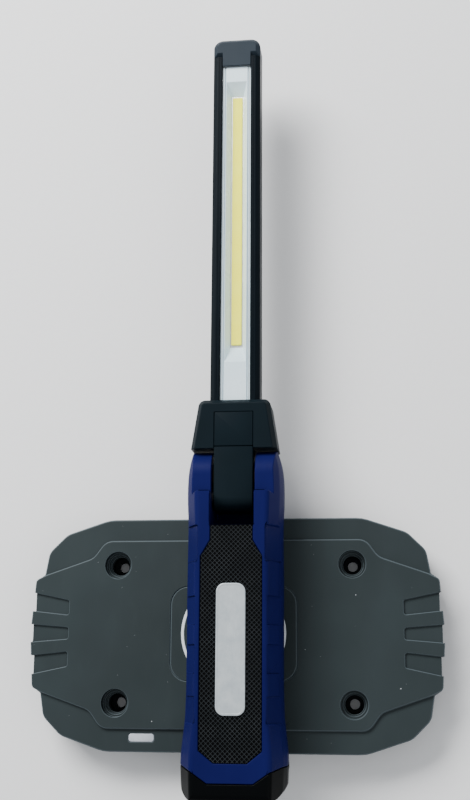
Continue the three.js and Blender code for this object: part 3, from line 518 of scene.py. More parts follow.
def publish(obj, node, origin=PAD_ORIGIN, bevel_mm=0.0, sharp=32):
    """Turns a shape into the finished piece that stands for a CAD node."""
    moved(obj, Matrix.Scale(MM, 4) @ Matrix.Translation(origin))
    obj.name = f"{node}_look"
    obj.data.name = obj.name
    obj.data.materials.clear()
    obj.data.materials.append(MATERIALS[SLOTS[node]])
    for polygon in obj.data.polygons:
        polygon.material_index = 0
    if bevel_mm:
        bevel = obj.modifiers.new("worn_edges", "BEVEL")
        bevel.width = bevel_mm * MM
        bevel.segments = 2
        bevel.limit_method = "ANGLE"
        bevel.angle_limit = math.radians(sharp)
        bevel.use_clamp_overlap = False
        bevel.miter_outer = "MITER_ARC"
    obj.data.shade_smooth()
    obj.data.set_sharp_from_angle(angle=math.radians(sharp))
    if bevel_mm:
        obj.modifiers.new("shading", "WEIGHTED_NORMAL").keep_sharp = True
    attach(obj, BODIES[node])
    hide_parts(node)
    return obj


def dress_cad_nodes():
    """Every CAD node that still shows gets its slot's material."""
    for node, obj in frame["nodes"].items():
        for slot in obj.material_slots:
            slot.material = MATERIALS[SLOTS[node]]


# ---------------------------------------------------------------- charging pad

PAD_TOP = cad("pad_top_cover")[1].z
MARGIN_DROP = 1.6  # from the raised plate down to the margin round it
COVER_LOW = cad("pad_top_cover")[0].z
BASE_HIGH = cad("pad_base_cover")[1].z
CEILING = 14.4
BASE_FLOOR = 2.6

# A quarter of each outline, as corners (x, y, radius).
PAD_OUTLINE = [
    (102.6, 0, 60), (100.7, 26.3, 2.5), (96.7, 29, 1), (94.8, 40.3, 7), (85.7, 49.3, 9), (63.8, 56.6, 18),
]
PLATE_OUTLINE = [(102.6, 0, 60), (100.7, 26.3, 2.5), (95.4, 28.9, 1), (71.5, 37.1, 8), (65.2, 45.7, 7)]
BASE_OUTLINE = [(99.5, 0, 60), (98.8, 24.6, 2.5), (95, 27.6, 1), (93.2, 39.6, 7), (84.7, 48, 9), (63.5, 55, 18)]
CAVITY_OUTLINE = [(95, 0, 60), (94, 22, 3), (89.5, 37.5, 5), (82.5, 44.5, 6), (63, 51.2, 12)]

HOLES = [(sx * 58.5, sy * 33.5) for sx in (-1, 1) for sy in (-1, 1)]
BOSS_RADIUS = 8.6
# Radius of a mounting hole, and the height at which it steps in to the next one.
HOLE_STEPS = [(6.75, 13.6), (5.5, 11), (4.6, 3.4), (2.5, -1)]

# Recessed grips in the wings: their two edges at the inner end, the slopes of those edges towards the rim, and
# the x at which the rim is notched right through.
GRIPS = [(8.8, 16.2, 0.11, 0.21, 100.4), (-2.9, 2.9, -0.08, 0.08, 101.4), (-16.2, -8.8, -0.21, -0.11, 100.4)]
GRIP_INNER = 83
GRIP_OUTER = 105
GRIP_DEPTH = 1.2
GRIP_CORNER = 1.3

RING = {"radius": 26, "width": 1.5}
FRAME_LINE = {"x": 31.5, "y": 23.1, "r": 9, "width": 0.55, "depth": 0.5}
WINDOW_CORNER = 1.3
WINDOW_GAP = 0.15
SOCKET_GAP = 0.3
SOCKET_WALL = (49, 58)  # the part of the far wall that the socket's cut passes through
COVER_SCREWS = [(-40, -46), (40, -46), (-48, 45), (40, 45)]
COVER_SCREW = {"boss": 3.6, "shank_hole": 1.7, "head_hole": 3, "head_depth": 2}
FEET = [(x, y) for x in (-75, 75) for y in (-30, 30)]
FOOT = {"length": 18, "width": 6, "corner": 2.9, "depth": 0.4}


def grip_cutter(grip, side, start):
    """A grip's shallow recess if it starts at the inner end, or else its notch through the rim."""
    low, high, low_slope, high_slope = grip[:4]
    recess = start == GRIP_INNER
    radius = GRIP_CORNER if recess else 0
    corners = [
        (side * start, low + (start - GRIP_INNER) * low_slope, radius),
        (side * GRIP_OUTER, low + (GRIP_OUTER - GRIP_INNER) * low_slope, 0),
        (side * GRIP_OUTER, high + (GRIP_OUTER - GRIP_INNER) * high_slope, 0),
        (side * start, high + (start - GRIP_INNER) * high_slope, radius),
    ]
    bottom = PAD_TOP - GRIP_DEPTH if recess else COVER_LOW - 1
    return prism(rounded(corners), bottom, PAD_TOP + 2)


def tube(outer, inner, low, high):
    solid = rod("z", (0, 0), outer, low, high, count=128)
    return cut(solid, rod("z", (0, 0), inner, low - 1, high + 1, count=128))


def frame_line():
    """Cutter for the thin rounded frame pressed into the plate at the target ring."""
    x, y = FRAME_LINE["x"], FRAME_LINE["y"]
    outer = rectangle(-x, x, -y, y, FRAME_LINE["r"])
    return cut(
        prism(outer, PAD_TOP - FRAME_LINE["depth"], PAD_TOP + 1),
        prism(inset(outer, FRAME_LINE["width"]), PAD_TOP - 2, PAD_TOP + 2),
    )


def window_outline(gap=0.0):
    low, high = cad("indicator_window")
    return rectangle(low.x - gap, high.x + gap, low.y - gap, high.y + gap, WINDOW_CORNER)


def pad_top_cover():
    margin = PAD_TOP - MARGIN_DROP
    shell = prism(rounded(fourfold(PAD_OUTLINE)), COVER_LOW, margin, lower=0.5, upper=0.9, steps=4)
    plate = prism(rounded(fourfold(PLATE_OUTLINE)), CEILING, PAD_TOP, upper=0.7, steps=4)
    shell = join(shell, plate)
    shell = cut(shell, prism(rounded(fourfold(CAVITY_OUTLINE)), COVER_LOW - 1, CEILING))
    grips = [(g, side, start) for side in (-1, 1) for g in GRIPS for start in (GRIP_INNER, g[4])]
    shell = cut(shell, *(grip_cutter(*grip) for grip in grips))
    shell = join(shell, *(rod("z", xy, BOSS_RADIUS, COVER_LOW, PAD_TOP - 1) for xy in HOLES))
    for radius, bottom in HOLE_STEPS[:3]:
        shell = cut(shell, *(rod("z", xy, radius, max(bottom, COVER_LOW - 1), PAD_TOP + 1) for xy in HOLES))
    groove = frame_line()
    ring_bed = tube(RING["radius"], RING["radius"] - RING["width"], PAD_TOP - 0.5, PAD_TOP + 1)
    window = prism(window_outline(WINDOW_GAP), CEILING - 1, PAD_TOP)
    low, high = cad("pad_input_socket")
    socket = block(low.x - SOCKET_GAP, high.x + SOCKET_GAP, *SOCKET_WALL, COVER_LOW - 1, high.z + SOCKET_GAP)
    shell = cut(shell, groove, ring_bed, window, socket)
    return publish(shell, "pad_top_cover", bevel_mm=0.22)


def pad_base_cover():
    tray = prism(rounded(fourfold(BASE_OUTLINE)), 0, BASE_HIGH, lower=1.2, upper=0.5, steps=4)
    tray = cut(tray, prism(rounded(fourfold(CAVITY_OUTLINE)), BASE_FLOOR, BASE_HIGH + 2))
    tray = join(tray, *(rod("z", xy, BOSS_RADIUS - 1.8, 1, BASE_HIGH) for xy in HOLES))
    tray = join(tray, *(rod("z", xy, COVER_SCREW["boss"], 1, BASE_HIGH, count=24) for xy in COVER_SCREWS))
    for radius, bottom in HOLE_STEPS[2:]:
        tray = cut(tray, *(rod("z", xy, radius, bottom, BASE_HIGH + 1) for xy in HOLES))
    shank, head, depth = (COVER_SCREW[key] for key in ("shank_hole", "head_hole", "head_depth"))
    tray = cut(tray, *(rod("z", xy, shank, -1, BASE_HIGH + 1, count=24) for xy in COVER_SCREWS))
    tray = cut(tray, *(rod("z", xy, head, -1, depth, count=32) for xy in COVER_SCREWS))
    long, wide = FOOT["length"] / 2, FOOT["width"] / 2
    plans = [rectangle(x - long, x + long, y - wide, y + wide, FOOT["corner"]) for x, y in FEET]
    tray = cut(tray, *(prism(plan, -1, FOOT["depth"]) for plan in plans))
    return publish(tray, "pad_base_cover", bevel_mm=0.25)


def pad_trim():
    low, high = cad("target_ring")
    ring = tube(RING["radius"] - 0.08, RING["radius"] - RING["width"] + 0.08, low.z, high.z)
    publish(ring, "target_ring", bevel_mm=0.08)
    low, high = cad("indicator_window")
    publish(prism(window_outline(), low.z, high.z, upper=0.3), "indicator_window")
    for i, (x, y) in enumerate(COVER_SCREWS, 1):
        low, high = cad(f"pad_screw_{i}")
        shape = screw(x, y, low.z, high.z, head=(high.x - low.x) / 2, shank=1.2)
        publish(shape, f"pad_screw_{i}", bevel_mm=0.08)


THREAD_PITCH = 0.7
THREAD_DEPTH = 0.25
CROSS_HALF = 0.35  # half the width of a slot in a screw's head


def screw(x, y, low, high, head, shank):
    """A screw along Z, its crossed head below: a domed pan head, and a shank ringed like a thread."""
    height = head * 0.6
    pan = rod("z", (x, y), head, low, low + height, lower=head * 0.28, count=32)
    rings = []
    z = low + height * 0.5
    while z < high - 0.8:
        rings += [(shank - THREAD_DEPTH, z), (shank, z + THREAD_PITCH / 2)]
        z += THREAD_PITCH
    rings += [(shank - 0.3, z), (0.25, high)]
    thread = stack([[(*p, at) for p in circle(x, y, radius, 20)] for radius, at in rings])
    arm = head * 0.62
    top = low + height * 0.55
    return cut(
        join(pan, thread),
        block(x - arm, x + arm, y - CROSS_HALF, y + CROSS_HALF, low - 1, top),
        block(x - CROSS_HALF, x + CROSS_HALF, y - arm, y + arm, low - 1, top),
    )


# ---------------------------------------------------------------- handle

DEPTH = 17  # from the hinge axis to the handle's front and back
GAP = 0.3  # at each joint line
EAR_RADIUS = 12.5
SLOT_HALF = 10.6
SLOT_END = -25.3
SLOT_FLOOR = -14
SWING_RADIUS = 18.6  # the room that the neck needs to turn in
SHOULDER = -8.3
BASE_END = cad("base_cap", PIVOT)[0].y
RECESS_TOP = -124.1  # the recess in the back that the hook folds into
RECESS_DEPTH = 5.2
SHELL_WALL = 2.7
CAVITY_HALF = DEPTH - SHELL_WALL
CAVITY_REAR_HALF = 19.4  # half widths of the cavity, and the height at which it narrows to the front one
CAVITY_FRONT_HALF = 15.3
CAVITY_STEP = 6.5
CAVITY_TOP = -27.8
CAVITY_BOTTOM = -131.5
PIN_BORE = {"radius": 3.1, "half": 18.4}

# The handle's half width at stations along it, as (y, half width).
HALF_WIDTHS = [
    (-152, 24.2), (-143, 24.7), (-131.6, 25.1), (-122, 24.1), (-114, 23.1), (-100, 22.8), (-52, 23),
    (-24, 22.8), (-12, 23.5), (-4, 23.5), (2, 23.2), (7, 22.4), (10, 21.5), (14, 20),
]
REFERENCE_HALF = 23
BEVEL_INNER = (17, DEPTH)
BEVEL_OUTER = (21.8, 7.5)
SECTION = [
    (18.4, -DEPTH, 4.5), (REFERENCE_HALF, -8, 5), (REFERENCE_HALF, 1.5, 4), (*BEVEL_OUTER, 7), (*BEVEL_INNER, 3),
]

GRIP_PANEL = [
    (7.6, -132.7, 0.6), (14.3, -127.4, 0.8), (14.4, -39.8, 1.5), (9.9, -32.3, 1.5), (9.9, SLOT_END + 0.2, 0),
]
PANEL_LOW, PANEL_HIGH = (corner.z for corner in cad("grip_panel", PIVOT))
# Recesses in the bevelled sides, as (low y, high y, depth).
FINGER_PADS = [(-41.9, -25, 0.9), (-71.2, -58.2, 0.45), (-93.2, -80.4, 0.45), (-115.7, -103.6, 0.45)]
CAP_LINE = [(18, -136.8), (10.5, -141.9)]
CAP_SIDE = -134.8
SHELL_SCREWS = [(-15.5, -34.1), (15.5, -34.1), (-15.5, -118.1), (15.5, -118.1)]
SHELL_SCREW = {"boss": 3.8, "shank_hole": 1.9, "head_hole": 3.2}
BUTTON = {"dish": 8.2, "hole": 5.8, "cap": 5.5, "flange": 7, "hollow": 3.6}
BASE_MAGNET = {"radius": 9, "z": 1.5}
BADGE_CORNER = 4


def half_width(y):
    """The handle's half width: the stations above, eased over a few millimetres."""
    ys, widths = zip(*HALF_WIDTHS)
    window = np.linspace(-4, 4, 9)
    return float(np.mean(np.interp(y + window, ys, widths)))


def handle_body():
    section = rounded(twofold(SECTION), 10)
    stations = np.linspace(HALF_WIDTHS[0][0], HALF_WIDTHS[-1][0], 90)
    rings = [[(p.x * half_width(y) / REFERENCE_HALF, y, p.y) for p in section] for y in stations]
    skin = stack(rings)
    plan = rounded(twofold([
        (20.5, BASE_END, 8), (25.4, -142, 12), (26, -100, 0), (26, -30, 0), (23.4, -20.5, 5),
        (20.4, SHOULDER, 6.5), (SLOT_HALF - 0.5, SHOULDER, 0),
    ]))
    trunk = prism(plan, -DEPTH - 1, DEPTH + 1)
    ear_rod = rod("x", (0, 0), EAR_RADIUS, -30, 30, count=128)
    ears = join(ear_rod, block(-30, 30, -40, 0, -EAR_RADIUS, EAR_RADIUS))
    side_view = [(BASE_END, -DEPTH, 3), (30, -DEPTH, 0), (30, DEPTH, 0), (BASE_END, DEPTH, 3.5)]
    end_round = prism(rounded(side_view), -40, 40, "x")
    body = common(skin, join(trunk, ears), end_round)
    slot = join(
        block(-SLOT_HALF, SLOT_HALF, SLOT_END, 30, SLOT_FLOOR, 40),
        block(-SLOT_HALF, SLOT_HALF, 0, 30, -40, 40),
        rod("x", (0, 0), SWING_RADIUS, -SLOT_HALF, SLOT_HALF, count=128),
    )
    hook_recess = block(-40, 40, -200, RECESS_TOP, -40, -DEPTH + RECESS_DEPTH)
    return cut(body, slot, hook_recess)


def cap_zone(shift):
    """The space of the base cap, up to its joint line with the shells."""
    knee, flat = CAP_LINE
    right = [(23.4, CAP_SIDE + shift, 0), (knee[0], knee[1] + shift, 0.8), (flat[0], flat[1] + shift, 1.5)]
    outline = [(-40, -200, 0), (40, -200, 0), (40, CAP_SIDE + shift, 0)] + right
    outline += [(-x, y, r) for x, y, r in reversed(right)] + [(-40, CAP_SIDE + shift, 0)]
    return join(prism(rounded(outline), 0, 40), block(-40, 40, -200, CAP_SIDE + shift, -40, 0.01))


def finger_pad(low, high, depth, side):
    """Cutter for a recess in the bevelled side, its inner corners rounded."""
    slope = math.atan2(BEVEL_INNER[1] - BEVEL_OUTER[1], BEVEL_OUTER[0] - BEVEL_INNER[0])
    inner, outer, corner = -0.6, 15, 1.6
    outline = rounded([(inner, low, corner), (outer, low, 0), (outer, high, 0), (inner, high, corner)])
    pad = prism(outline, -depth, 4)
    place = Matrix.Translation((BEVEL_INNER[0], 0, BEVEL_INNER[1])) @ Matrix.Rotation(slope, 4, "Y")
    moved(pad, place)
    return moved(pad, MIRROR_X) if side < 0 else pad


def handle_cavity():
    """Room for the insides: it narrows towards the front, and is shallower behind, over the hook's recess."""
    step = RECESS_TOP + SHELL_WALL
    rear, front = CAVITY_REAR_HALF, CAVITY_FRONT_HALF
    front_low, front_high = CAVITY_STEP - 1, CAVITY_HALF - 0.9
    return join(
        prism(rectangle(-rear, rear, step, CAVITY_TOP, 3), -CAVITY_HALF, CAVITY_STEP),
        prism(rectangle(-front, front, step, CAVITY_TOP, 3), front_low, front_high),
        block(-rear, rear, CAVITY_BOTTOM, step + 5, -9.4, CAVITY_STEP),
        block(-front, front, CAVITY_BOTTOM, step + 5, front_low, front_high),
    )


def pin_bore():
    return rod("x", (0, 0), PIN_BORE["radius"], -PIN_BORE["half"], PIN_BORE["half"])


def middle(low, high):
    return ((low.x + high.x) / 2, (low.y + high.y) / 2)


def front_shell(body):
    shell = common(duplicate(body), block(-50, 50, -200, 50, GAP / 2, 50))
    shell = cut(shell, handle_cavity(), cap_zone(GAP))
    pocket = prism(inset(rounded(twofold(GRIP_PANEL)), -GAP), PANEL_LOW - 0.1, DEPTH + 5)
    shell = cut(shell, pocket, block(-10.2, 10.2, SLOT_END - 1, 0, PANEL_LOW - 0.1, DEPTH + 5))
    shell = cut(shell, *(finger_pad(*pad, side) for pad in FINGER_PADS for side in (-1, 1)))
    shell = cut(shell, pin_bore())
    return publish(shell, "front_shell", PIVOT, bevel_mm=0.35, sharp=34)


def rear_shell(body):
    shell = common(duplicate(body), block(-50, 50, -200, 50, -50, -GAP / 2))
    shell = cut(shell, handle_cavity(), cap_zone(GAP))
    centre = middle(*cad("power_button", PIVOT))
    dish = rod("z", centre, BUTTON["dish"], -30, -DEPTH + 0.9, upper=0.6, count=64)
    shell = cut(shell, dish, rod("z", centre, BUTTON["hole"], -30, -DEPTH + 4))
    boss, shank, head = (SHELL_SCREW[key] for key in ("boss", "shank_hole", "head_hole"))
    shell = join(shell, *(rod("z", xy, boss, -DEPTH + 1.5, -GAP / 2, count=32) for xy in SHELL_SCREWS))
    shell = cut(shell, *(rod("z", xy, shank, -30, 1, count=32) for xy in SHELL_SCREWS))
    shell = cut(shell, *(rod("z", xy, head, -30, -DEPTH + 2.2, count=32) for xy in SHELL_SCREWS))
    shell = cut(shell, pin_bore())
    return publish(shell, "rear_shell", PIVOT, bevel_mm=0.35, sharp=34)


def base_cap(body):
    cap = common(duplicate(body), cap_zone(0))
    magnet = rod("y", (0, BASE_MAGNET["z"]), BASE_MAGNET["radius"], BASE_END + 1.6, -130)
    pivot = rod("z", HOOK_PIVOT.xy, 2.6, -30, -3)
    return publish(cut(cap, magnet, pivot), "base_cap", PIVOT, bevel_mm=0.3, sharp=34)


# Half a diamond's width, the shares of it at which a ridge ends and the pit begins, and the pit's depth.
KNURL = {"half": 1.1, "ridge": 0.88, "pit": 0.8, "depth": 0.42}


def knurling(x0, x1, y0, y1, low, high):
    """A slab whose top is tiled with sunken diamonds between narrow crossing ridges."""
    half = KNURL["half"]
    bm = bmesh.new()
    corners = ((half, 0), (0, half), (-half, 0), (0, -half))
    columns = range(math.floor(x0 / half), math.ceil(x1 / half) + 1)
    rows = range(math.floor(y0 / half), math.ceil(y1 / half) + 1)
    for i in columns:
        for j in rows:
            if (i + j) % 2:
                continue
            levels = ((1, high), (KNURL["ridge"], high), (KNURL["pit"], high - KNURL["depth"]))
            rings = []
            for k, z in levels:
                rings.append([bm.verts.new((i * half + x * k, j * half + y * k, z)) for x, y in corners])
            bm.faces.new(rings[2])
            for outer, inner in zip(rings, rings[1:]):
                for k in range(4):
                    bm.faces.new((outer[k], outer[(k + 1) % 4], inner[(k + 1) % 4], inner[k]))
    bmesh.ops.remove_doubles(bm, verts=bm.verts, dist=0.01)
    rim = [e for e in bm.edges if len(e.link_faces) == 1]
    walls = bmesh.ops.extrude_edge_only(bm, edges=rim)["geom"]
    lower = [v for v in walls if isinstance(v, bmesh.types.BMVert)]
    for v in lower:
        v.co.z = low
    bottom = [e for e in walls if isinstance(e, bmesh.types.BMEdge) and all(v.co.z == low for v in e.verts)]
    bmesh.ops.contextual_create(bm, geom=bottom)
    bmesh.ops.recalc_face_normals(bm, faces=bm.faces)
    mesh = bpy.data.meshes.new("shape")
    bm.to_mesh(mesh)
    bm.free()
    obj = bpy.data.objects.new("shape", mesh)
    bpy.context.scene.collection.objects.link(obj)
    return obj


def grip_panel():
    outline = rounded(twofold(GRIP_PANEL))
    panel = prism(outline, PANEL_LOW, PANEL_HIGH)
    panel = common(panel, knurling(-16, 16, -135, -22, PANEL_LOW - 1, PANEL_HIGH))
    low, high = cad("badge_plate", PIVOT)
    gap = 0.12
    plan = rectangle(low.x - gap, high.x + gap, low.y - gap, high.y + gap, BADGE_CORNER)
    bed = prism(plan, low.z - 0.1, DEPTH + 3)
    return publish(cut(panel, bed), "grip_panel", PIVOT, sharp=25)


def badge_plate():
    low, high = cad("badge_plate", PIVOT)
    outline = rectangle(low.x, high.x, low.y, high.y, BADGE_CORNER)
    plate = prism(outline, low.z, high.z, upper=0.35)
    sunk = prism(inset(outline, 0.9), high.z - 0.12, high.z + 1)
    return publish(cut(plate, sunk), "badge_plate", PIVOT, bevel_mm=0.06)


def power_button():
    low, high = cad("power_button", PIVOT)
    centre = middle(low, high)
    cap = rod("z", centre, BUTTON["cap"], low.z, high.z - 0.4, lower=0.7, count=64)
    flange = rod("z", centre, BUTTON["flange"], high.z - 0.9, high.z, count=64)
    hollow = rod("z", centre, BUTTON["hollow"], low.z - 1, low.z + 0.35, upper=0.3, count=48)
    return publish(cut(join(cap, flange), hollow), "power_button", PIVOT, bevel_mm=0.08)


HOOK = {"bend": (15, -135.1), "outer": 9.5, "inner": 5, "lip": 5.5, "eye": 7, "hole": 2.8, "head": 4.6}


def hanging_hook():
    """A flat hook: an eye on the pivot, an arm, a half-round bow and a short lip with a round end."""
    low, high = cad("hanging_hook", PIVOT)
    x, y = HOOK_PIVOT.xy
    bend = Vector(HOOK["bend"])
    outer, inner, lip_x = HOOK["outer"], HOOK["inner"], HOOK["lip"]
    bottom, top = low.z, high.z
    arm_plan = [(x, y - 7, 0), (bend.x, bend.y - outer, 0), (bend.x, bend.y - inner, 0), (x, y + 2, 0)]
    arm = prism(rounded(arm_plan), bottom, top)
    bow = common(rod("z", bend, outer, bottom, top, count=96), block(bend.x, 60, -200, 0, -40, 0))
    lip = block(lip_x, bend.x + 0.1, bend.y + inner, bend.y + outer, bottom, top)
    end = rod("z", (lip_x, bend.y + (inner + outer) / 2), (outer - inner) / 2, bottom, top, count=48)
    hook = join(rod("z", (x, y), HOOK["eye"], bottom, top, count=64), arm, bow, lip, end)
    mouth = join(
        rod("z", bend, inner, bottom - 1, top + 1, count=64),
        block(-2.5, bend.x, bend.y - inner, bend.y + inner, bottom - 1, top + 1),
    )
    hole = rod("z", (x, y), HOOK["hole"], -30, 0)
    head = rod("z", (x, y), HOOK["head"], -30, bottom + 1.4)
    return publish(cut(hook, mouth, hole, head), "hanging_hook", PIVOT, bevel_mm=0.5)


def hook_pivot():
    low, high = cad("hook_pivot", PIVOT)
    head = rod("z", HOOK_PIVOT.xy, 4.3, low.z, low.z + 1.1, lower=0.5, count=48)
    stem = rod("z", HOOK_PIVOT.xy, 2.5, low.z + 0.5, high.z, upper=0.4, count=32)
    dimple = rod("z", HOOK_PIVOT.xy, 1.4, low.z - 1, low.z + 0.4, upper=0.3, count=32)
    return publish(cut(join(head, stem), dimple), "hook_pivot", PIVOT)


def shell_screws():
    for i, (x, y) in enumerate(SHELL_SCREWS, 1):
        low, high = cad(f"shell_screw_{i}", PIVOT)
        shape = screw(x, y, low.z, high.z, head=2.9, shank=1.4)
        publish(shape, f"shell_screw_{i}", PIVOT, bevel_mm=0.08)


# ---------------------------------------------------------------- light bar

BAR_HALF = cad("bar_frame", PIVOT)[1].x
BAR_DEPTH = cad("bar_frame", PIVOT)[1].z
BAR_START, BAR_END = (corner.y for corner in cad("bar_frame", PIVOT))
TIP = cad("tip_cap", PIVOT)[1].y
CHANNEL_HALF = 7.6
CHANNEL_FLOOR = -4.7
WINDOW_END = cad("lens", PIVOT)[1].y
COB_LOW, COB_HIGH = cad("cob_strip", PIVOT)
REFLECTOR_FACE = cad("reflector", PIVOT)[1].z
RIB_PITCH = 1.6
RIBS_FROM = 46
RIB_SHARE = 0.45  # of its pitch that a rib's groove takes up
RIB_DEPTH = 0.7
LIP_HALF = 0.35  # half widths of the lines along the bar's front face
SCORE_AT, SCORE_HALF = 9.1, 0.12
TIP_GAP = 0.2


def bar_section():
    """Half of the bar's section, from the back to the front: the long edges are chamfered."""
    return [
        (BAR_HALF - 2.4, -BAR_DEPTH, 0.4), (BAR_HALF, -BAR_DEPTH + 2, 0.6),
        (BAR_HALF, BAR_DEPTH - 2, 0.6), (BAR_HALF - 2.2, BAR_DEPTH, 0.4),
    ]


def both_sides(at, half, y0, y1, z0, z1):
    """Two blocks of a half width, centred on x = -at and x = at."""
    return [block(side * at - half, side * at + half, y0, y1, z0, z1) for side in (-1, 1)]


def bar_frame():
    frame_bar = prism(rounded(twofold(bar_section())), BAR_START, BAR_END, "y")
    channel = block(-CHANNEL_HALF, CHANNEL_HALF, BAR_START - 5, BAR_END + 5, CHANNEL_FLOOR, 20)
    lip = both_sides(CHANNEL_HALF, LIP_HALF, BAR_START - 5, BAR_END + 5, BAR_DEPTH - 0.35, 20)
    scores = both_sides(SCORE_AT, SCORE_HALF, 40, BAR_END + 5, BAR_DEPTH - 0.2, 20)
    count = int((BAR_END - 6 - RIBS_FROM) / RIB_PITCH)
    low, high = -BAR_DEPTH - 1, -BAR_DEPTH + RIB_DEPTH
    ribs = []
    for y in (RIBS_FROM + k * RIB_PITCH for k in range(count)):
        ribs.append(block(-BAR_HALF - 1, BAR_HALF + 1, y, y + RIB_PITCH * RIB_SHARE, low, high))
    frame_bar = cut(frame_bar, channel, *lip, *scores)
    return publish(cut(frame_bar, *ribs), "bar_frame", PIVOT, sharp=28)


def tip_cap():
    start = BAR_END + TIP_GAP
    corners = [(-BAR_HALF, start, 0), (BAR_HALF, start, 0), (BAR_HALF, TIP, 5), (-BAR_HALF, TIP, 5)]
    head = chamfered(rounded(corners, 12), -BAR_DEPTH, BAR_DEPTH, 2.2, 2)
    head = common(head, prism(rounded(twofold(bar_section())), start, TIP + 1, "y"))
    half = CHANNEL_HALF - 0.15
    tongue = block(-half, half, WINDOW_END + 0.2, BAR_END + 3, CHANNEL_FLOOR + 0.1, BAR_DEPTH)
    return publish(join(head, tongue), "tip_cap", PIVOT, bevel_mm=0.2)


def trough(half, low, high, spread, ease_low, ease_high, z0, z1):
    """A pit with sloping walls, wider by spread and longer by the two eases at its mouth."""
    wide, start, end = half + spread, low - ease_low, high + ease_high
    bottom = [(-half, low), (half, low), (half, high), (-half, high)]
    mouth = [(-wide, start), (wide, start), (wide, end), (-wide, end)]
    return stack([[(*p, z0) for p in bottom], [(*p, z1) for p in mouth]])


def reflector():
    half = CHANNEL_HALF - 0.2
    low, high = cad("reflector", PIVOT)
    blank = block(-half, half, low.y, high.y, low.z, REFLECTOR_FACE)
    gap = 0.3
    pit = trough(
        COB_HIGH.x + gap, COB_LOW.y - gap, COB_HIGH.y + gap, spread=2.5, ease_low=9.4, ease_high=6.8,
        z0=low.z - 0.5, z1=REFLECTOR_FACE + 0.01,
    )
    relief = block(-6.7, 6.7, 40, 213, low.z - 3, low.z)
    steps = both_sides(6.0, 0.25, low.y - 1, high.y + 1, REFLECTOR_FACE - 1.3, 20)
    ledges = both_sides(half, 0.7, low.y - 1, high.y + 1, REFLECTOR_FACE - 0.3, 20)
    return publish(cut(blank, pit, relief, *steps, *ledges), "reflector", PIVOT, bevel_mm=0.12, sharp=20)


def cob_strip():
    outline = rectangle(COB_LOW.x, COB_HIGH.x, COB_LOW.y, COB_HIGH.y, 0.5)
    return publish(prism(outline, COB_LOW.z, COB_HIGH.z, upper=0.45, steps=5), "cob_strip", PIVOT)


def lens():
    low, high = cad("lens", PIVOT)
    plate = prism(rectangle(low.x, high.x, low.y, high.y, 0.3), low.z, high.z, upper=0.2)
    return publish(plate, "lens", PIVOT)


# ---------------------------------------------------------------- hinge and collar

COLLAR_DEPTH = cad("collar_front", PIVOT)[1].z
COLLAR_TOP = cad("collar_front", PIVOT)[1].y
NECK_HALF = cad("hinge_knuckle", PIVOT)[1].x
NECK_END = cad("hinge_knuckle", PIVOT)[0].y
COLLAR_BOTTOM = cad("collar_front", PIVOT)[0].y
COVER_TOP = 31
COLLAR_SCREWS = [(-16, 20.5), (16, 20.5)]
COLLAR_SCREW = {"shank_hole": 1.5, "head_hole": 2.6}
NECK_TOP = 13.7
NECK_CORNER = 6
NECK_GAP = 0.1
BAR_GAP = 0.2


def collar_blank():
    outline = rounded(twofold([(21.9, 9, 0), (17.4, COLLAR_TOP, 3.5)]), 12)
    return chamfered(outline, -COLLAR_DEPTH, COLLAR_DEPTH, 2.2, 3)


def collar_half(side):
    """The front (side 1) or rear half of the collar that clamps the bar to the knuckle."""
    low, high = (GAP / 3, 30) if side > 0 else (-30, -GAP / 3)
    collar = common(collar_blank(), block(-50, 50, COLLAR_BOTTOM, 60, low, high))
    neck, bar, deep = NECK_HALF + NECK_GAP, BAR_HALF + BAR_GAP, BAR_DEPTH + BAR_GAP
    collar = cut(
        collar,
        block(-neck, neck, -1, NECK_TOP + 0.2, -30, 30),
        block(-6.2, 6.2, 10, 19.6, -5.2, 5.2),
        block(-bar, bar, BAR_START - BAR_GAP, COLLAR_TOP + 5, -deep, deep),
    )
    if side > 0:
        collar = cut(collar, block(-neck, neck, 13, COVER_TOP, COLLAR_DEPTH - 1.2, 30))
    else:
        shank, head = COLLAR_SCREW["shank_hole"], COLLAR_SCREW["head_hole"]
        collar = cut(collar, *(rod("z", xy, shank, -30, 1, count=24) for xy in COLLAR_SCREWS))
        collar = cut(collar, *(rod("z", xy, head, -30, -COLLAR_DEPTH + 2, count=32) for xy in COLLAR_SCREWS))
    return publish(collar, "collar_front" if side > 0 else "collar_rear", PIVOT, bevel_mm=0.3, sharp=30)


def collar_cover():
    low, high = cad("collar_cover", PIVOT)
    plate = prism(rectangle(low.x, high.x, low.y, high.y, 0.4), low.z, high.z, upper=0.15)
    return publish(plate, "collar_cover", PIVOT)


def hinge_knuckle():
    corners = [
        (NECK_END, -COLLAR_DEPTH, NECK_CORNER), (NECK_TOP, -COLLAR_DEPTH, 0),
        (NECK_TOP, COLLAR_DEPTH, 0), (NECK_END, COLLAR_DEPTH, NECK_CORNER),
    ]
    body = prism(rounded(corners, 16), -NECK_HALF, NECK_HALF, "x", lower=0.5, upper=0.5)
    tang = block(-6, 6, 13, 19.4, -5, 5)
    bore = rod("x", (0, 0), 3.15, -30, 30)
    return publish(cut(join(body, tang), bore), "hinge_knuckle", PIVOT)


def collar_screws():
    for i, (x, y) in enumerate(COLLAR_SCREWS, 1):
        low, high = cad(f"collar_screw_{i}", PIVOT)
        shape = screw(x, y, low.z, high.z, head=2.3, shank=1.2)
        publish(shape, f"collar_screw_{i}", PIVOT, bevel_mm=0.08)


# ---------------------------------------------------------------- stage

SENSOR_MM = 36
LENS_MM = 51.9975
CAMERA_AT = (71.06, -20.95)
CAMERA_ABOVE = 573.24  # over the pad's top
CAMERA_FORWARD = (-0.11944, 0.23337, -0.96502)
CAMERA_UP = (0.02242, 0.97237, 0.23237)
FLOOR_HALF_M = 3


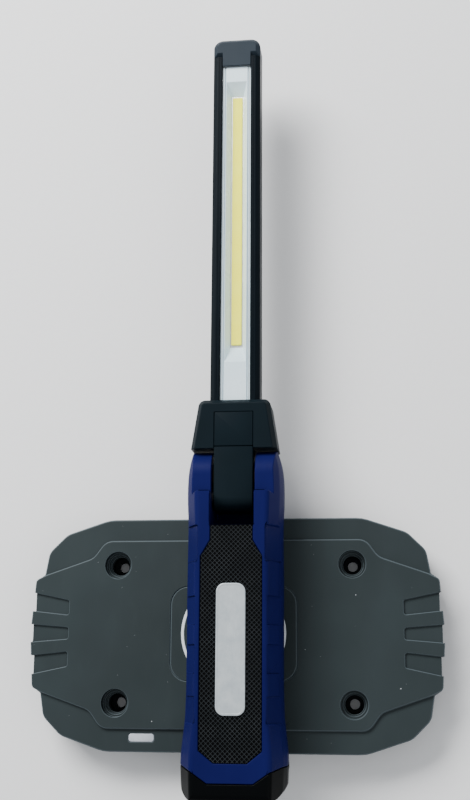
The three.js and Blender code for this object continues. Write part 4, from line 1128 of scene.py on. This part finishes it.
def camera():
    """Looks down from above the pad's right side, tilted towards the tip and a little to the left."""
    data = bpy.data.cameras.new("camera")
    data.sensor_width = SENSOR_MM
    data.lens = LENS_MM
    data.clip_start = 0.01
    cam = bpy.data.objects.new("camera", data)
    bpy.context.scene.collection.objects.link(cam)
    forward = Vector(CAMERA_FORWARD).normalized()
    right = forward.cross(Vector(CAMERA_UP)).normalized()
    up = right.cross(forward)
    turn = Matrix((right, up, -forward)).transposed().to_4x4()
    cam.matrix_world = Matrix.Translation(Vector((*CAMERA_AT, PAD_TOP + CAMERA_ABOVE)) * MM) @ turn
    bpy.context.scene.camera = cam


def studio_floor():
    bm = bmesh.new()
    bmesh.ops.create_grid(bm, x_segments=8, y_segments=8, size=FLOOR_HALF_M)
    mesh = bpy.data.meshes.new("floor")
    bm.to_mesh(mesh)
    bm.free()
    obj = bpy.data.objects.new("floor", mesh)
    bpy.context.scene.collection.objects.link(obj)
    n = Nodes("paper")
    fibre = n.noise(3, detail=4.0)
    tone = n.blend(fibre, (0.9, 0.9, 0.9, 1), (0.94, 0.94, 0.94, 1))
    obj.data.materials.append(n.set(base_color=tone, roughness=0.9, specular_ior_level=0.1))


def area_light(name, position, target, size, power):
    data = bpy.data.lights.new(name, "AREA")
    data.shape = "RECTANGLE"
    data.size, data.size_y = size
    data.energy = power
    lamp = bpy.data.objects.new(name, data)
    bpy.context.scene.collection.objects.link(lamp)
    lamp.location = position
    lamp.rotation_euler = (Vector(target) - Vector(position)).to_track_quat("-Z", "Y").to_euler()


def studio():
    world = bpy.data.worlds.new("studio")
    bpy.context.scene.world = world
    world.use_nodes = True
    background = world.node_tree.nodes["Background"]
    background.inputs["Color"].default_value = (0.93, 0.96, 1.0, 1)
    background.inputs["Strength"].default_value = 0.6
    area_light("key", (-0.6, 0.95, 0.9), target=(0, 0.05, 0.02), size=(0.9, 0.6), power=34)
    area_light("fill", (0.9, -0.5, 1.0), target=(0, 0.1, 0.02), size=(1.0, 1.0), power=3)


# ---------------------------------------------------------------- everything together

dress_cad_nodes()
pad_top_cover()
pad_base_cover()
pad_trim()

handle = handle_body()
front_shell(handle)
rear_shell(handle)
base_cap(handle)
bpy.data.objects.remove(handle)
grip_panel()
badge_plate()
power_button()
hanging_hook()
hook_pivot()
shell_screws()

bar_frame()
tip_cap()
reflector()
cob_strip()
lens()
collar_half(1)
collar_half(-1)
collar_cover()
hinge_knuckle()
collar_screws()

studio_floor()
studio()
camera()
